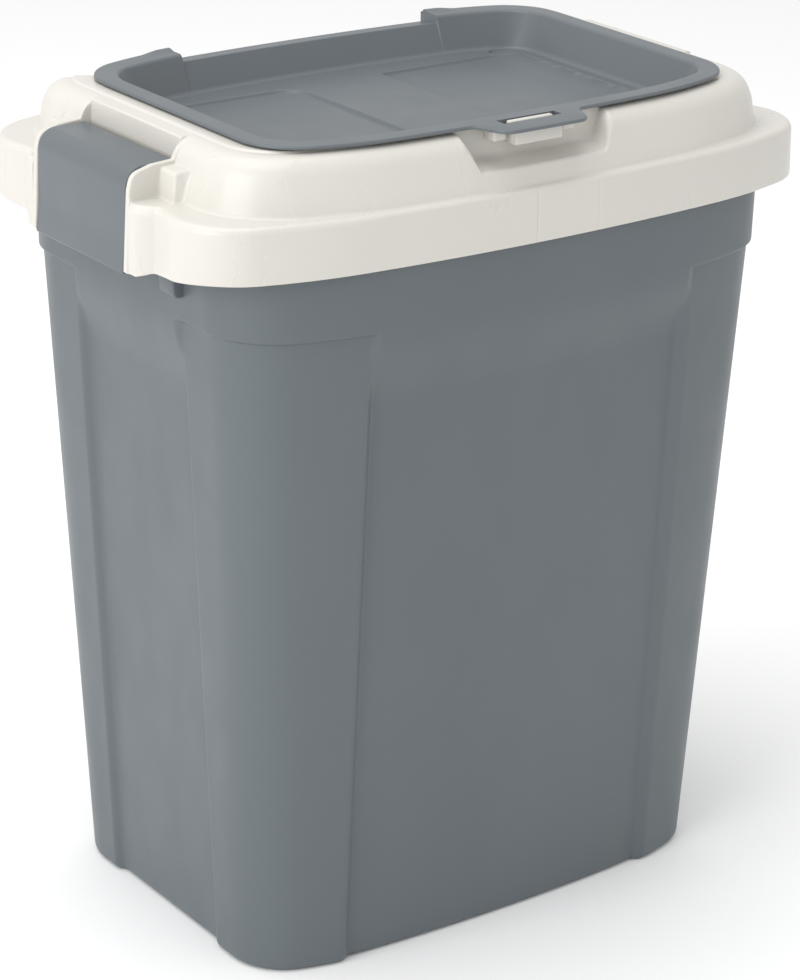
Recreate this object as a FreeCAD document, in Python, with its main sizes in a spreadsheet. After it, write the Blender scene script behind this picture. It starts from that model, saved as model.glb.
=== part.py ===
"""Pet food bin: a tapered bucket, a domed lid with a flip-up hatch, and two side latches.

Millimetres, +Z up.  X runs along the long sides, Y along the short sides, and the bucket stands on z = 0
with the origin at the centre of its footprint.  The hatch's finger tab is at the front, towards -Y.
"""
import FreeCAD
import Part
import math
import os
import Sketcher
from FreeCAD import Placement, Rotation, Vector

DIMENSIONS = [
    # the bucket
    ("bow_radius", 1100, "long sides bulge outwards along this radius, from the foot to the hatch"),
    ("base_half_length", 133.3, "half the bucket's length at the floor"),
    ("base_half_width", 97.8, "half its width at the floor, at the middle of the bulge"),
    ("base_corner", 34, "corner radius at the floor"),
    ("hull_half_length", 149.3, "half the bucket's length under the collar"),
    ("hull_half_width", 112.0, "half its width under the collar"),
    ("hull_corner", 40, "corner radius under the collar"),
    ("collar_level", 320, "height where the collar steps out"),
    ("collar_step", 2.0, "how far the collar stands out from the corner columns"),
    ("collar_draft", 0.8, "how much further it stands out at the rim"),
    ("rim_level", 366, "top of the bucket's rim"),
    ("wall", 2.6, "wall of the bucket"),
    ("floor", 3.0, "floor of the bucket"),
    ("panel_half_length", 92.5, "half the length of the sunk panel in a long side"),
    ("panel_half_width", 47.5, "half the width of the sunk panel in a short side"),
    ("panel_depth", 4.0, "depth of a long side's panel"),
    ("end_panel_depth", 3.0, "depth of a short side's panel"),
    ("panel_slope", 5.0, "width of the sloped border of a panel"),
    ("keeper_reach", 163.0, "edge of the keeper rib that a latch grips, from the middle of the bin"),
    ("keeper_level", 350.0, "underside of the keeper rib"),
    ("keeper_thick", 3.5, "thickness of the keeper rib"),
    ("keeper_half", 51.0, "half the length of the keeper rib"),
    ("bracket_reach", 158.5, "face of the two brackets that carry the keeper rib"),
    ("bracket_width", 12.0, "width of a bracket"),
    ("bracket_level", 331.0, "lower end of a bracket"),
    # the lid
    ("skirt_half_length", 170.0, "half the lid's length"),
    ("skirt_half_width", 118.0, "half the lid's width at the middle of the bulge"),
    ("skirt_corner", 32, "corner radius of the skirt"),
    ("skirt_level", 348.0, "lower edge of the skirt"),
    ("ledge_level", 375.0, "flat ledge on top of the skirt"),
    ("skirt_round", 3.5, "rounding between skirt and ledge"),
    ("shell", 2.6, "wall of the lid"),
    ("dome_half_length", 153.0, "half the length of the dome at the ledge"),
    ("dome_half_width", 113.0, "half its width at the ledge"),
    ("dome_corner", 42, "corner radius of the dome"),
    ("dome_level", 400.0, "flat top of the dome"),
    ("dome_round", 13.0, "rounding of the dome's shoulder"),
    ("dome_wall", 3.0, "wall of the dome"),
    ("hollow_slope", 7.0, "how far the hollow under the dome draws in towards its top"),
    ("throat_inset", 10.0, "width of the flange inside the dome's foot, which carries the gasket"),
    # the hatch and its well
    ("rim_half_length", 131.0, "half the length of the hatch's rim"),
    ("rim_front", 101.4, "front edge of the hatch's rim, from the middle"),
    ("rim_back", 87.6, "back edge of the hatch's rim, from the middle"),
    ("rim_corner", 33, "corner radius of the hatch's rim"),
    ("rim_underside", 401.0, "underside of the hatch's rim"),
    ("rim_thick", 2.2, "thickness of the hatch's rim"),
    ("rim_width", 9.5, "width of the rim, from its edge to the tray"),
    ("tray_taper", 8.0, "how far the tray's walls come in from rim to floor"),
    ("tray_back_inset", 11.5, "width of the step behind the tray"),
    ("tray_level", 383.2, "underside of the tray's floor"),
    ("tray_wall", 2.0, "wall of the tray"),
    ("well_gap", 1.2, "gap between the tray and its well"),
    ("neck_level", 379.6, "lower end of the well"),
    ("seat_level", 381.8, "top of the seat inside the well, under the tray's floor"),
    ("seat_width", 14.0, "width of the seat, which carries the hatch's gasket"),
    # the hatch's hinge
    ("hinge_back", 84.0, "distance of the hinge line behind the middle"),
    ("hinge_level", 398.0, "height of the hinge line"),
    ("hinge_gap_floor", 388.0, "floor of the notch behind the well"),
    ("hinge_gap_front", 75.5, "front of that notch"),
    ("hinge_gap_half", 125.0, "half the length of that notch"),
    ("strip_half", 73.5, "half the length of the low strip between the knuckles"),
    ("strip_top", 398.8, "top of the low strip"),
    ("knuckle_inner", 74.0, "inner end of a hatch knuckle"),
    ("knuckle_outer", 81.6, "outer end of a hatch knuckle"),
    ("knuckle_radius", 2.8, "radius of a hatch knuckle"),
    ("bump_rise", 1.6, "height of the bump on the rim above a knuckle"),
    ("ear_inner", 82.0, "inner face of a hinge ear on the lid"),
    ("ear_outer", 87.0, "outer face of a hinge ear"),
    ("ear_radius", 2.6, "radius of a hinge ear"),
    ("hatch_pin_radius", 1.25, "radius of a hatch pin"),
    ("pin_clearance", 0.05, "running clearance round a pin"),
    # the finger tab, its catch and the finger notch
    ("tab_half_base", 30.0, "half the width of the tab where it leaves the rim"),
    ("tab_half_tip", 23.0, "half the width of the tab at its tip"),
    ("tab_reach", 117.5, "tip of the tab, from the middle"),
    ("tab_corner", 7.0, "corner radius of the tab's tip"),
    ("slot_half", 16.0, "half the length of the tab's slot"),
    ("slot_front", 106.6, "front edge of the slot"),
    ("slot_back", 99.8, "back edge of the slot"),
    ("finger_half", 38.0, "half the length of the finger notch in the dome"),
    ("finger_back", 97.0, "back wall of the finger notch"),
    ("finger_floor", 388.5, "floor of the finger notch at its back wall"),
    ("finger_lip", 385.5, "floor of the finger notch where it leaves the dome"),
    ("finger_liner", 2.4, "wall behind the finger notch"),
    ("catch_half", 13.0, "half the length of the catch block"),
    ("catch_front", 108.0, "front face of the catch block"),
    ("catch_low", 392.5, "underside of the catch block"),
    ("catch_top", 399.6, "top of the catch block"),
    ("nose_top", 402.6, "top of the nose that enters the tab's slot"),
    ("nose_gap", 1.0, "gap between the nose and the slot"),
    ("lug_inner", 15.5, "inner end of the small lug beside the catch"),
    ("lug_outer", 22.5, "outer end of the small lug"),
    ("lug_front", 104.5, "front face of the small lug"),
    ("lug_low", 394.5, "underside of the small lug"),
    # the latches
    ("latch_half", 37.6, "half the width of a latch"),
    ("latch_gap", 0.6, "gap between a latch and the cheeks beside it"),
    ("latch_root", 148.0, "inner end of a latch's top, from the middle of the bin"),
    ("latch_root_level", 389.8, "height of that end"),
    ("latch_face", 172.5, "outer face of a latch"),
    ("latch_brow_level", 389.0, "height where the top would meet the outer face"),
    ("latch_bend", 10.0, "outer radius of the bend between them"),
    ("latch_lip", 174.5, "outer face at the finger lip"),
    ("latch_lip_level", 352.0, "height where the finger lip starts to flare"),
    ("latch_low", 342.0, "lower edge of a latch"),
    ("latch_thick", 2.4, "wall of a latch"),
    ("latch_axis", 150.5, "hinge line of a latch, from the middle of the bin"),
    ("latch_axis_level", 386.3, "height of that hinge line"),
    ("barrel_radius", 3.1, "radius of the hinge barrel inside a latch"),
    ("latch_pin_radius", 1.5, "radius of a latch pin"),
    ("latch_pin_half", 43.5, "half the length of a latch pin"),
    ("hook_top", 349.0, "top of the hook rib inside a latch"),
    ("hook_thick", 3.0, "thickness of the hook rib"),
    ("hook_gap", 0.6, "gap between the hook and the keeper's edge"),
    ("cheek_thick", 3.0, "thickness of a cheek beside a latch"),
    ("cheek_proud", 0.6, "how far a cheek stands out past the latch"),
    ("flange_half", 53.0, "outer end of the flange beside a latch, from the middle"),
    ("flange_reach", 173.4, "outer face of that flange"),
    ("flange_low", 342.6, "lower end of the flange and of the cheek"),
    ("well_wall", 143.5, "wall of the recess behind a latch, from the middle of the bin"),
    ("well_edge", 163.5, "edge of the ledge under a latch"),
    ("boss_length", 12.0, "length of the boss that ties a cheek to the dome"),
    ("boss_half", 48.0, "outer face of that boss, from the middle"),
    ("boss_level", 388.5, "top of that boss"),
    # the seals
    ("gasket_width", 4.0, "width of the lid gasket"),
    ("gasket_inset", 1.0, "distance of the gasket's outer edge inside the bucket's rim"),
    ("gasket_gap", 0.3, "gap between a gasket and the piece that it seals against"),
    ("hatch_gasket_width", 5.0, "width of the hatch gasket"),
    ("hatch_gasket_inset", 4.0, "distance of its outer edge inside the well"),
]

doc = FreeCAD.newDocument("pet_food_bin")
sheet = doc.addObject("Spreadsheet::Sheet", "Dimensions")
for row, (alias, value, note) in enumerate(DIMENSIONS, start=1):
    sheet.set(f"A{row}", alias)
    sheet.set(f"B{row}", str(value))
    sheet.set(f"C{row}", note)
    sheet.setAlias(f"B{row}", alias)
doc.recompute()


class Size:
    """A length that carries its value and the sheet expression that it comes from."""

    def __init__(self, text, value):
        self.text = text
        self.value = value

    @staticmethod
    def of(other):
        return other if isinstance(other, Size) else Size(f"({other})", float(other))

    def __add__(self, other):
        other = Size.of(other)
        return Size(f"({self.text} + {other.text})", self.value + other.value)

    def __sub__(self, other):
        other = Size.of(other)
        return Size(f"({self.text} - {other.text})", self.value - other.value)

    def __mul__(self, other):
        other = Size.of(other)
        return Size(f"({self.text} * {other.text})", self.value * other.value)

    def __neg__(self):
        return self * -1


def size(alias):
    """The sheet's dimension of that name."""
    return Size(f"Dimensions.{alias}", float(sheet.get(alias)))


# ---------------------------------------------------------------- sketches and features

def new_body(name):
    body = doc.addObject("PartDesign::Body", name)
    body.Label = name
    return body


def new_sketch(body, name, role, offset):
    """A sketch on one of the body's own origin planes, moved along the plane's normal."""
    plane = next(item for item in body.Origin.OriginFeatures if item.Role == role)
    sketch = body.newObject("Sketcher::SketchObject", name)
    sketch.AttachmentSupport = [(plane, "")]
    sketch.MapMode = "FlatFace"
    sketch.setExpression("AttachmentOffset.Base.z", offset.text)
    return sketch


def fix(sketch, kind, reference, length):
    """Adds a driving dimension and binds it to the sheet."""
    index = sketch.addConstraint(Sketcher.Constraint(kind, *reference, length.value))
    sketch.setExpression(f"Constraints[{index}]", length.text)


def pin_point(sketch, element, end, across, along):
    """Holds a sketch point at two signed distances from the sketch's origin."""
    for kind, length in (("DistanceX", across), ("DistanceY", along)):
        if length.value >= 0:
            fix(sketch, kind, (-1, 1, element, end), length)
        else:
            fix(sketch, kind, (element, end, -1, 1), -length)


def polygon(body, name, role, offset, corners):
    """A closed outline of straight lines, each corner held by two sizes."""
    sketch = new_sketch(body, name, role, offset)
    points = [Vector(across.value, along.value, 0) for across, along in corners]
    count = len(points)
    for index in range(count):
        sketch.addGeometry(Part.LineSegment(points[index], points[(index + 1) % count]), False)
    for index in range(count):
        sketch.addConstraint(Sketcher.Constraint("Coincident", index, 2, (index + 1) % count, 1))
    for index, (across, along) in enumerate(corners):
        pin_point(sketch, index, 1, across, along)
    return sketch


def bowed_outline(body, name, level, half_length, front, back, corner):
    """A rounded rectangle whose long sides bulge outwards, on a level above the ground.

    Elements run anticlockwise: front arc, corner, right side, corner, back arc, corner, left side, corner.
    """
    sketch = new_sketch(body, name, "XY_Plane", level)
    bow = size("bow_radius").value
    reach = half_length.value - corner.value
    lean = math.sqrt((bow - corner.value) ** 2 - reach ** 2)
    turn = math.atan2(reach, lean)
    low = bow - front.value - lean
    high = back.value - bow + lean
    side = half_length.value
    quarter = math.pi / 2
    up = Vector(0, 0, 1)

    def arc(x, y, radius, start, end):
        sketch.addGeometry(Part.ArcOfCircle(Part.Circle(Vector(x, y, 0), up, radius), start, end), False)

    arc(0, bow - front.value, bow, -quarter - turn, -quarter + turn)
    arc(reach, low, corner.value, -quarter + turn, 0)
    sketch.addGeometry(Part.LineSegment(Vector(side, low, 0), Vector(side, high, 0)), False)
    arc(reach, high, corner.value, 0, quarter - turn)
    arc(0, back.value - bow, bow, quarter - turn, quarter + turn)
    arc(-reach, high, corner.value, quarter + turn, 2 * quarter)
    sketch.addGeometry(Part.LineSegment(Vector(-side, high, 0), Vector(-side, low, 0)), False)
    arc(-reach, low, corner.value, 2 * quarter, 3 * quarter - turn)
    for index in range(8):
        sketch.addConstraint(Sketcher.Constraint("Tangent", index, 2, (index + 1) % 8, 1))
    for index in (2, 6):
        sketch.addConstraint(Sketcher.Constraint("Vertical", index))
    fix(sketch, "DistanceX", (-1, 1, 2, 1), half_length)
    fix(sketch, "DistanceX", (6, 1, -1, 1), half_length)
    for index in (1, 3, 5, 7):
        fix(sketch, "Radius", (index,), corner)
    for index, reference, reach_out in ((0, (-1, 1, 0, 3), front), (4, (4, 3, -1, 1), back)):
        sketch.addConstraint(Sketcher.Constraint("PointOnObject", index, 3, -2))
        fix(sketch, "Radius", (index,), size("bow_radius"))
        fix(sketch, "DistanceY", reference, size("bow_radius") - reach_out)
    return sketch


def extrude(body, name, sketch, length, cut=False, backwards=False):
    """Pads along the sketch's normal, or cuts along it; backwards turns that round."""
    feature = body.newObject("PartDesign::Pocket" if cut else "PartDesign::Pad", name)
    feature.Profile = sketch
    feature.setExpression("Length", length.text)
    feature.Reversed = cut != backwards
    sketch.Visibility = False
    return feature


def loft(body, name, lower, upper, cut=False):
    feature = body.newObject("PartDesign::SubtractiveLoft" if cut else "PartDesign::AdditiveLoft", name)
    feature.Profile = lower
    feature.Sections = [upper]
    feature.Ruled = True
    return feature


def place(feature, x, y, z):
    for axis, length in zip("xyz", (x, y, z)):
        feature.setExpression(f"Placement.Base.{axis}", length.text)


def block(body, name, low, high, cut=False):
    """A box between two corners, added to the body or cut from it."""
    feature = body.newObject("PartDesign::SubtractiveBox" if cut else "PartDesign::AdditiveBox", name)
    for side, start, end in zip(("Length", "Width", "Height"), low, high):
        feature.setExpression(side, (end - start).text)
    place(feature, *low)
    return feature


ALONG = {"x": Rotation(Vector(0, 1, 0), 90), "y": Rotation(Vector(1, 0, 0), -90), "z": Rotation()}


def rod(body, name, start, axis, radius, length, cut=False):
    """A cylinder that runs from start along +X, +Y or +Z."""
    kind = "PartDesign::SubtractiveCylinder" if cut else "PartDesign::AdditiveCylinder"
    feature = body.newObject(kind, name)
    feature.Placement = Placement(Vector(), ALONG[axis])
    feature.setExpression("Radius", radius.text)
    feature.setExpression("Height", length.text)
    place(feature, *start)
    return feature


def round_edges(body, name, radius, chosen):
    """Fillets the edges of the body's last feature that the test picks out."""
    doc.recompute()
    base = body.Tip
    names = [f"Edge{number}" for number, edge in enumerate(base.Shape.Edges, start=1) if chosen(edge)]
    feature = body.newObject("PartDesign::Fillet", name)
    feature.Base = (base, names)
    feature.setExpression("Radius", radius.text)
    return feature


def level_edges(level, reach):
    """Picks the edges that lie flat on a level and touch or pass that distance from the Z axis."""
    def chosen(edge):
        box = edge.BoundBox
        flat = abs(box.ZMin - level) < 0.01 and abs(box.ZMax - level) < 0.01
        return flat and max(abs(box.XMin), abs(box.XMax), abs(box.YMin), abs(box.YMax)) > reach
    return chosen


def mirrored_sides():
    """The two short sides: the left one, towards -X, and the right one."""
    return (("left", -1), ("right", 1))


def span(first, second, sign):
    """Two distances from the middle, as low and high ends on the side of the given sign."""
    return (first, second) if sign > 0 else (-second, -first)


# ---------------------------------------------------------------- the bucket

def panel_cutter(body, name, level, outer, depth, slope_start, along_x, sign):
    """Outline, on one level, of what a sunk panel takes out of one side.

    along_x is true for a long side, whose panel follows the bulge; a short side's panel is flat.
    """
    slope = size("panel_slope")
    floor_line = outer - depth
    mouth = outer + depth
    half = slope_start - slope
    if not along_x:
        near, far = floor_line * sign, mouth * sign
        corners = [(near, -half), (near, half), (far, slope_start + slope), (far, -(slope_start + slope))]
        return polygon(body, name, "XY_Plane", level, corners)
    sketch = new_sketch(body, name, "XY_Plane", level)
    bow = size("bow_radius")
    centre = (bow - floor_line) * -sign
    swing = math.asin(half.value / bow.value)
    middle = math.pi / 2 * sign
    circle = Part.Circle(Vector(0, centre.value, 0), Vector(0, 0, 1), bow.value)
    sketch.addGeometry(Part.ArcOfCircle(circle, middle - swing, middle + swing), False)
    face = sketch.Geometry[0]
    wide = (slope_start + slope).value * sign
    ends = [face.EndPoint, Vector(-wide, mouth.value * sign, 0), Vector(wide, mouth.value * sign, 0)]
    ends.append(face.StartPoint)
    for first, second in zip(ends, ends[1:]):
        sketch.addGeometry(Part.LineSegment(first, second), False)
    for index in range(4):
        sketch.addConstraint(Sketcher.Constraint("Coincident", index, 2, (index + 1) % 4, 1))
    fix(sketch, "Radius", (0,), bow)
    sketch.addConstraint(Sketcher.Constraint("PointOnObject", 0, 3, -2))
    reference = (0, 3, -1, 1) if sign > 0 else (-1, 1, 0, 3)
    fix(sketch, "DistanceY", reference, bow - floor_line)
    right_end, left_end = ((0, 1), (0, 2)) if sign > 0 else ((0, 2), (0, 1))
    fix(sketch, "DistanceX", (-1, 1, *right_end), half)
    fix(sketch, "DistanceX", (*left_end, -1, 1), half)
    pin_point(sketch, 2, 1, -(slope_start + slope) * sign, mouth * sign)
    pin_point(sketch, 2, 2, (slope_start + slope) * sign, mouth * sign)
    return sketch


def panelled_hull(body, inset, bottom):
    """The tapered hull with its four sunk panels, drawn in by the inset, from bottom to the collar."""
    top = size("collar_level")
    base = [size("base_half_length") - inset, size("base_half_width") - inset, size("base_corner") - inset]
    crown = [size("hull_half_length") - inset, size("hull_half_width") - inset, size("hull_corner") - inset]
    lower = bowed_outline(body, f"{body.Name}_foot_outline", bottom, base[0], base[1], base[1], base[2])
    upper = bowed_outline(body, f"{body.Name}_crown_outline", top, crown[0], crown[1], crown[1], crown[2])
    loft(body, f"{body.Name}_hull", lower, upper)
    sides = [("front", True, -1), ("back", True, 1), ("left", False, -1), ("right", False, 1)]
    for side, along_x, sign in sides:
        axis = 1 if along_x else 0
        depth = size("panel_depth" if along_x else "end_panel_depth")
        reach = size("panel_half_length" if along_x else "panel_half_width") + inset
        outlines = []
        for place_name, level, outline in (("foot", bottom, base), ("crown", top, crown)):
            name = f"{body.Name}_{side}_panel_{place_name}"
            outlines.append(panel_cutter(body, name, level, outline[axis], depth, reach, along_x, sign))
        loft(body, f"{body.Name}_{side}_panel", *outlines, cut=True)


def grown_outline(body, name, level, step):
    """The hull's outline under the collar, grown outwards by a step."""
    half_width = size("hull_half_width") + step
    half_length = size("hull_half_length") + step
    return bowed_outline(body, name, level, half_length, half_width, half_width, size("hull_corner") + step)


def make_bucket():
    none = size("wall") * 0
    outside = new_body("bucket_outside")
    panelled_hull(outside, none, none)
    step = size("collar_step")
    foot = grown_outline(outside, "collar_foot", size("collar_level"), step)
    rim = grown_outline(outside, "collar_rim", size("rim_level"), step + size("collar_draft"))
    loft(outside, "collar", foot, rim)
    bottom = size("keeper_level")
    for side, sign in mirrored_sides():
        inner = size("hull_half_length")
        half = size("keeper_half")
        low_x, high_x = span(inner, size("keeper_reach"), sign)
        top = bottom + size("keeper_thick")
        block(outside, f"{side}_keeper", (low_x, -half, bottom), (high_x, half, top))
        low_x, high_x = span(inner, size("bracket_reach"), sign)
        for end, end_sign in (("front", -1), ("back", 1)):
            low_y, high_y = span(half - size("bracket_width"), half, end_sign)
            name = f"{side}_{end}_bracket"
            block(outside, name, (low_x, low_y, size("bracket_level")), (high_x, high_y, bottom))
    inside = new_body("bucket_inside")
    panelled_hull(inside, size("wall"), size("floor"))
    draft = size("collar_draft")
    throat = grown_outline(inside, "throat_foot", size("collar_level"), -size("wall"))
    mouth = grown_outline(inside, "throat_mouth", size("rim_level") + draft, step + draft - size("wall"))
    loft(inside, "throat", throat, mouth)
    bucket = doc.addObject("Part::Cut", "bucket")
    bucket.Label = "bucket"
    bucket.Base = outside
    bucket.Tool = inside
    return bucket


# ---------------------------------------------------------------- the lid

def skirt_outline(body, name, level, inset):
    half_width = size("skirt_half_width") - inset
    half_length = size("skirt_half_length") - inset
    return bowed_outline(body, name, level, half_length, half_width, half_width, size("skirt_corner") - inset)


def dome_outline(body, name, level, inset, back=None):
    half_width = size("dome_half_width") - inset
    half_length = size("dome_half_length") - inset
    corner = size("dome_corner") - inset
    return bowed_outline(body, name, level, half_length, half_width, back or half_width, corner)


def hatch_outline(body, name, level, inset, back_inset=None):
    """The hatch's outline drawn in from its rim, with a wider inset at the hinge where one is given."""
    front = size("rim_front") - inset
    back = size("rim_back") - (back_inset or inset)
    corner = size("rim_corner") - inset
    return bowed_outline(body, name, level, size("rim_half_length") - inset, front, back, corner)


def well_inset():
    """Distance from the rim's edge to the wall of the well."""
    return size("rim_width") - size("tray_wall") - size("well_gap")


def well_back_inset():
    return size("tray_back_inset") - size("tray_wall") - size("well_gap")


def lid_shell(lid):
    """Skirt, ledge and dome, hollow underneath."""
    skirt, ledge, top = size("skirt_level"), size("ledge_level"), size("dome_level")
    shell, wall = size("shell"), size("dome_wall")
    none = shell * 0
    extrude(lid, "skirt", skirt_outline(lid, "skirt_plan", skirt, none), ledge - skirt)
    round_edges(lid, "skirt_shoulder", size("skirt_round"), level_edges(ledge.value, 0))
    extrude(lid, "dome", dome_outline(lid, "dome_plan", ledge, none), top - ledge)
    round_edges(lid, "dome_shoulder", size("dome_round"), level_edges(top.value, 0))
    under = ledge - shell
    hollow = skirt_outline(lid, "skirt_hollow_plan", skirt, shell)
    extrude(lid, "skirt_hollow", hollow, under - skirt, cut=True)
    throat = dome_outline(lid, "throat_plan", under, size("throat_inset"))
    extrude(lid, "throat", throat, shell, cut=True)
    shelf = size("hinge_gap_floor") - shell
    extrude(lid, "dome_hollow", dome_outline(lid, "dome_hollow_plan", ledge, wall), shelf - ledge, cut=True)
    back = size("hinge_gap_front")
    lower = dome_outline(lid, "upper_hollow_foot", shelf, wall, back=back)
    upper = dome_outline(lid, "upper_hollow_head", top - wall, wall + size("hollow_slope"), back=back)
    loft(lid, "upper_hollow", lower, upper, cut=True)


def hatch_well(lid):
    """The well that the hatch's tray sits in, with the seat for its gasket, and the pouring hole."""
    top, neck, seat = size("dome_level"), size("neck_level"), size("seat_level")
    inset, back_inset, shell = well_inset(), well_back_inset(), size("shell")
    outer = hatch_outline(lid, "neck_plan", neck, inset - shell, back_inset - shell)
    extrude(lid, "neck", outer, top - size("dome_wall") - neck)
    well = hatch_outline(lid, "well_plan", seat, inset, back_inset)
    extrude(lid, "well", well, top + 1 - seat, cut=True)
    seat_width = size("seat_width")
    hole = hatch_outline(lid, "pouring_hole_plan", neck - 1, inset + seat_width, back_inset + seat_width)
    extrude(lid, "pouring_hole", hole, seat + 2 - neck, cut=True)


def hatch_hinge_seat(lid):
    """The notch behind the well and the two ears that hold the hatch's pins."""
    half, floor = size("hinge_gap_half"), size("hinge_gap_floor")
    behind = size("dome_half_width") + 5
    gap_top = size("dome_level") + 1
    block(lid, "hinge_gap", (-half, size("hinge_gap_front"), floor), (half, behind, gap_top), cut=True)
    back, level, radius = size("hinge_back"), size("hinge_level"), size("ear_radius")
    bore = size("hatch_pin_radius") + size("pin_clearance")
    for side, sign in mirrored_sides():
        low_x, high_x = span(size("ear_inner"), size("ear_outer"), sign)
        post_low = (low_x, back - radius, floor - 1)
        block(lid, f"{side}_ear_post", post_low, (high_x, back + radius, level))
        rod(lid, f"{side}_ear", (low_x, back, level), "x", radius, high_x - low_x)
        rod(lid, f"{side}_ear_bore", (low_x - 1, back, level), "x", bore, high_x - low_x + 2, cut=True)


def finger_notch(lid):
    """The hollow under the hatch's tab, and the catch in it."""
    half, back, liner = size("finger_half"), size("finger_back"), size("finger_liner")
    floor, lip = size("finger_floor"), size("finger_lip")
    top, wall, front = size("dome_level"), size("dome_wall"), size("dome_half_width")
    shoulder = front - size("dome_round")
    in_shell = front - wall * 0.5
    base = lip - liner
    corners = [(-(back - liner), top - wall), (-(back - liner), base), (-in_shell, base), (-in_shell, floor),
               (-(front - wall), floor + 4.5), (-(shoulder + wall * 2), top - wall)]
    outer_half = half + liner
    extrude(lid, "finger_liner", polygon(lid, "finger_liner_profile", "YZ_Plane", -outer_half, corners),
            outer_half * 2)
    corners = [(-back, top + 1), (-back, floor), (-front, lip), (-(front + 5), lip), (-(front + 5), top + 1)]
    extrude(lid, "finger_notch", polygon(lid, "finger_notch_profile", "YZ_Plane", -half, corners),
            half * 2, cut=True)
    catch, low, high = size("catch_half"), size("catch_low"), size("catch_top")
    block(lid, "catch", (-catch, -size("catch_front"), low), (catch, -(back - 1), high))
    gap = size("nose_gap")
    nose = catch - gap
    block(lid, "catch_nose", (-nose, -(size("slot_front") - gap), high - 1),
          (nose, -(size("slot_back") + gap), size("nose_top")))
    for side, sign in mirrored_sides():
        low_x, high_x = span(size("lug_inner"), size("lug_outer"), sign)
        block(lid, f"{side}_lug", (low_x, -size("lug_front"), size("lug_low")), (high_x, -(back - 1), high))


def latch_profile(grow, sign):
    """Outer line of a latch in the XZ plane, from its inner end to its lower edge, grown by a distance."""
    root, face, lip = size("latch_root"), size("latch_face") + grow, size("latch_lip") + grow
    corners = [(root, size("latch_root_level") + grow), (face, size("latch_brow_level") + grow),
               (face, size("latch_lip_level")), (lip, size("latch_low"))]
    return [(across * sign, level) for across, level in corners]


def latch_housing(lid, side, sign):
    """Recess, cheeks, flanges and bosses around one latch."""
    ledge, top, skirt = size("ledge_level"), size("dome_level"), size("skirt_level")
    opening = size("latch_half") + size("latch_gap")
    cheek = opening + size("cheek_thick")
    wall, well = size("dome_wall"), size("well_wall")
    shell_line = size("dome_half_length") - wall * 0.5
    corners = [(well - wall, ledge - 1), (shell_line, ledge - 1), (shell_line, ledge + size("dome_round")),
               (shell_line - wall, ledge + 19), (well + wall, top - wall), (well - wall, top - wall)]
    liner = polygon(lid, f"{side}_liner_profile", "XZ_Plane", -cheek,
                    [(across * sign, level) for across, level in corners])
    extrude(lid, f"{side}_liner", liner, cheek * 2)
    outside = size("latch_lip") + 10
    low_x, high_x = span(well, outside, sign)
    block(lid, f"{side}_recess", (low_x, -opening, ledge), (high_x, opening, top + 1), cut=True)
    proud = size("cheek_proud")
    profile = latch_profile(proud, sign)
    low, inner = size("flange_low"), (size("skirt_half_length") - 1) * sign
    foot = (size("flange_reach") * sign, low)
    bend = size("latch_bend") + proud
    face, brow = profile[1]
    profile = [profile[0], (face - bend * (0.9 * sign), brow), (face - bend * (0.26 * sign), brow - bend * 0.26),
               (face, brow - bend * 0.9), foot, (inner, low), (inner, skirt + 6),
                             (size("dome_half_length") * sign, ledge - size("shell")), (well * sign, ledge - 1)]
    for end, end_sign in (("front", -1), ("back", 1)):
        offset = opening if end_sign < 0 else -cheek
        name = f"{side}_{end}_cheek"
        extrude(lid, name, polygon(lid, f"{name}_profile", "XZ_Plane", offset, profile), size("cheek_thick"))
        low_x, high_x = span(size("skirt_half_length") - 1, size("flange_reach"), sign)
        low_y, high_y = span(opening, size("flange_half"), end_sign)
        block(lid, f"{side}_{end}_flange", (low_x, low_y, low), (high_x, high_y, ledge - 4))
        low_x, high_x = span(well, size("dome_half_length") + size("boss_length") * 0.5, sign)
        low_y, high_y = span(opening, size("boss_half"), end_sign)
        block(lid, f"{side}_{end}_boss", (low_x, low_y, ledge - 1), (high_x, high_y, size("boss_level")))
    low_x, high_x = span(size("well_edge"), outside, sign)
    block(lid, f"{side}_skirt_gap", (low_x, -opening, skirt - 8), (high_x, opening, ledge + 1), cut=True)
    pin_half = size("latch_pin_half")
    bore = size("latch_pin_radius") + size("pin_clearance")
    start = (size("latch_axis") * sign, -(pin_half + 0.1), size("latch_axis_level"))
    rod(lid, f"{side}_pin_bore", start, "y", bore, (pin_half + 0.1) * 2, cut=True)


def make_lid():
    lid = new_body("lid")
    lid_shell(lid)
    hatch_well(lid)
    hatch_hinge_seat(lid)
    finger_notch(lid)
    for side, sign in mirrored_sides():
        latch_housing(lid, side, sign)
    return lid


# ---------------------------------------------------------------- the hatch

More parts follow.
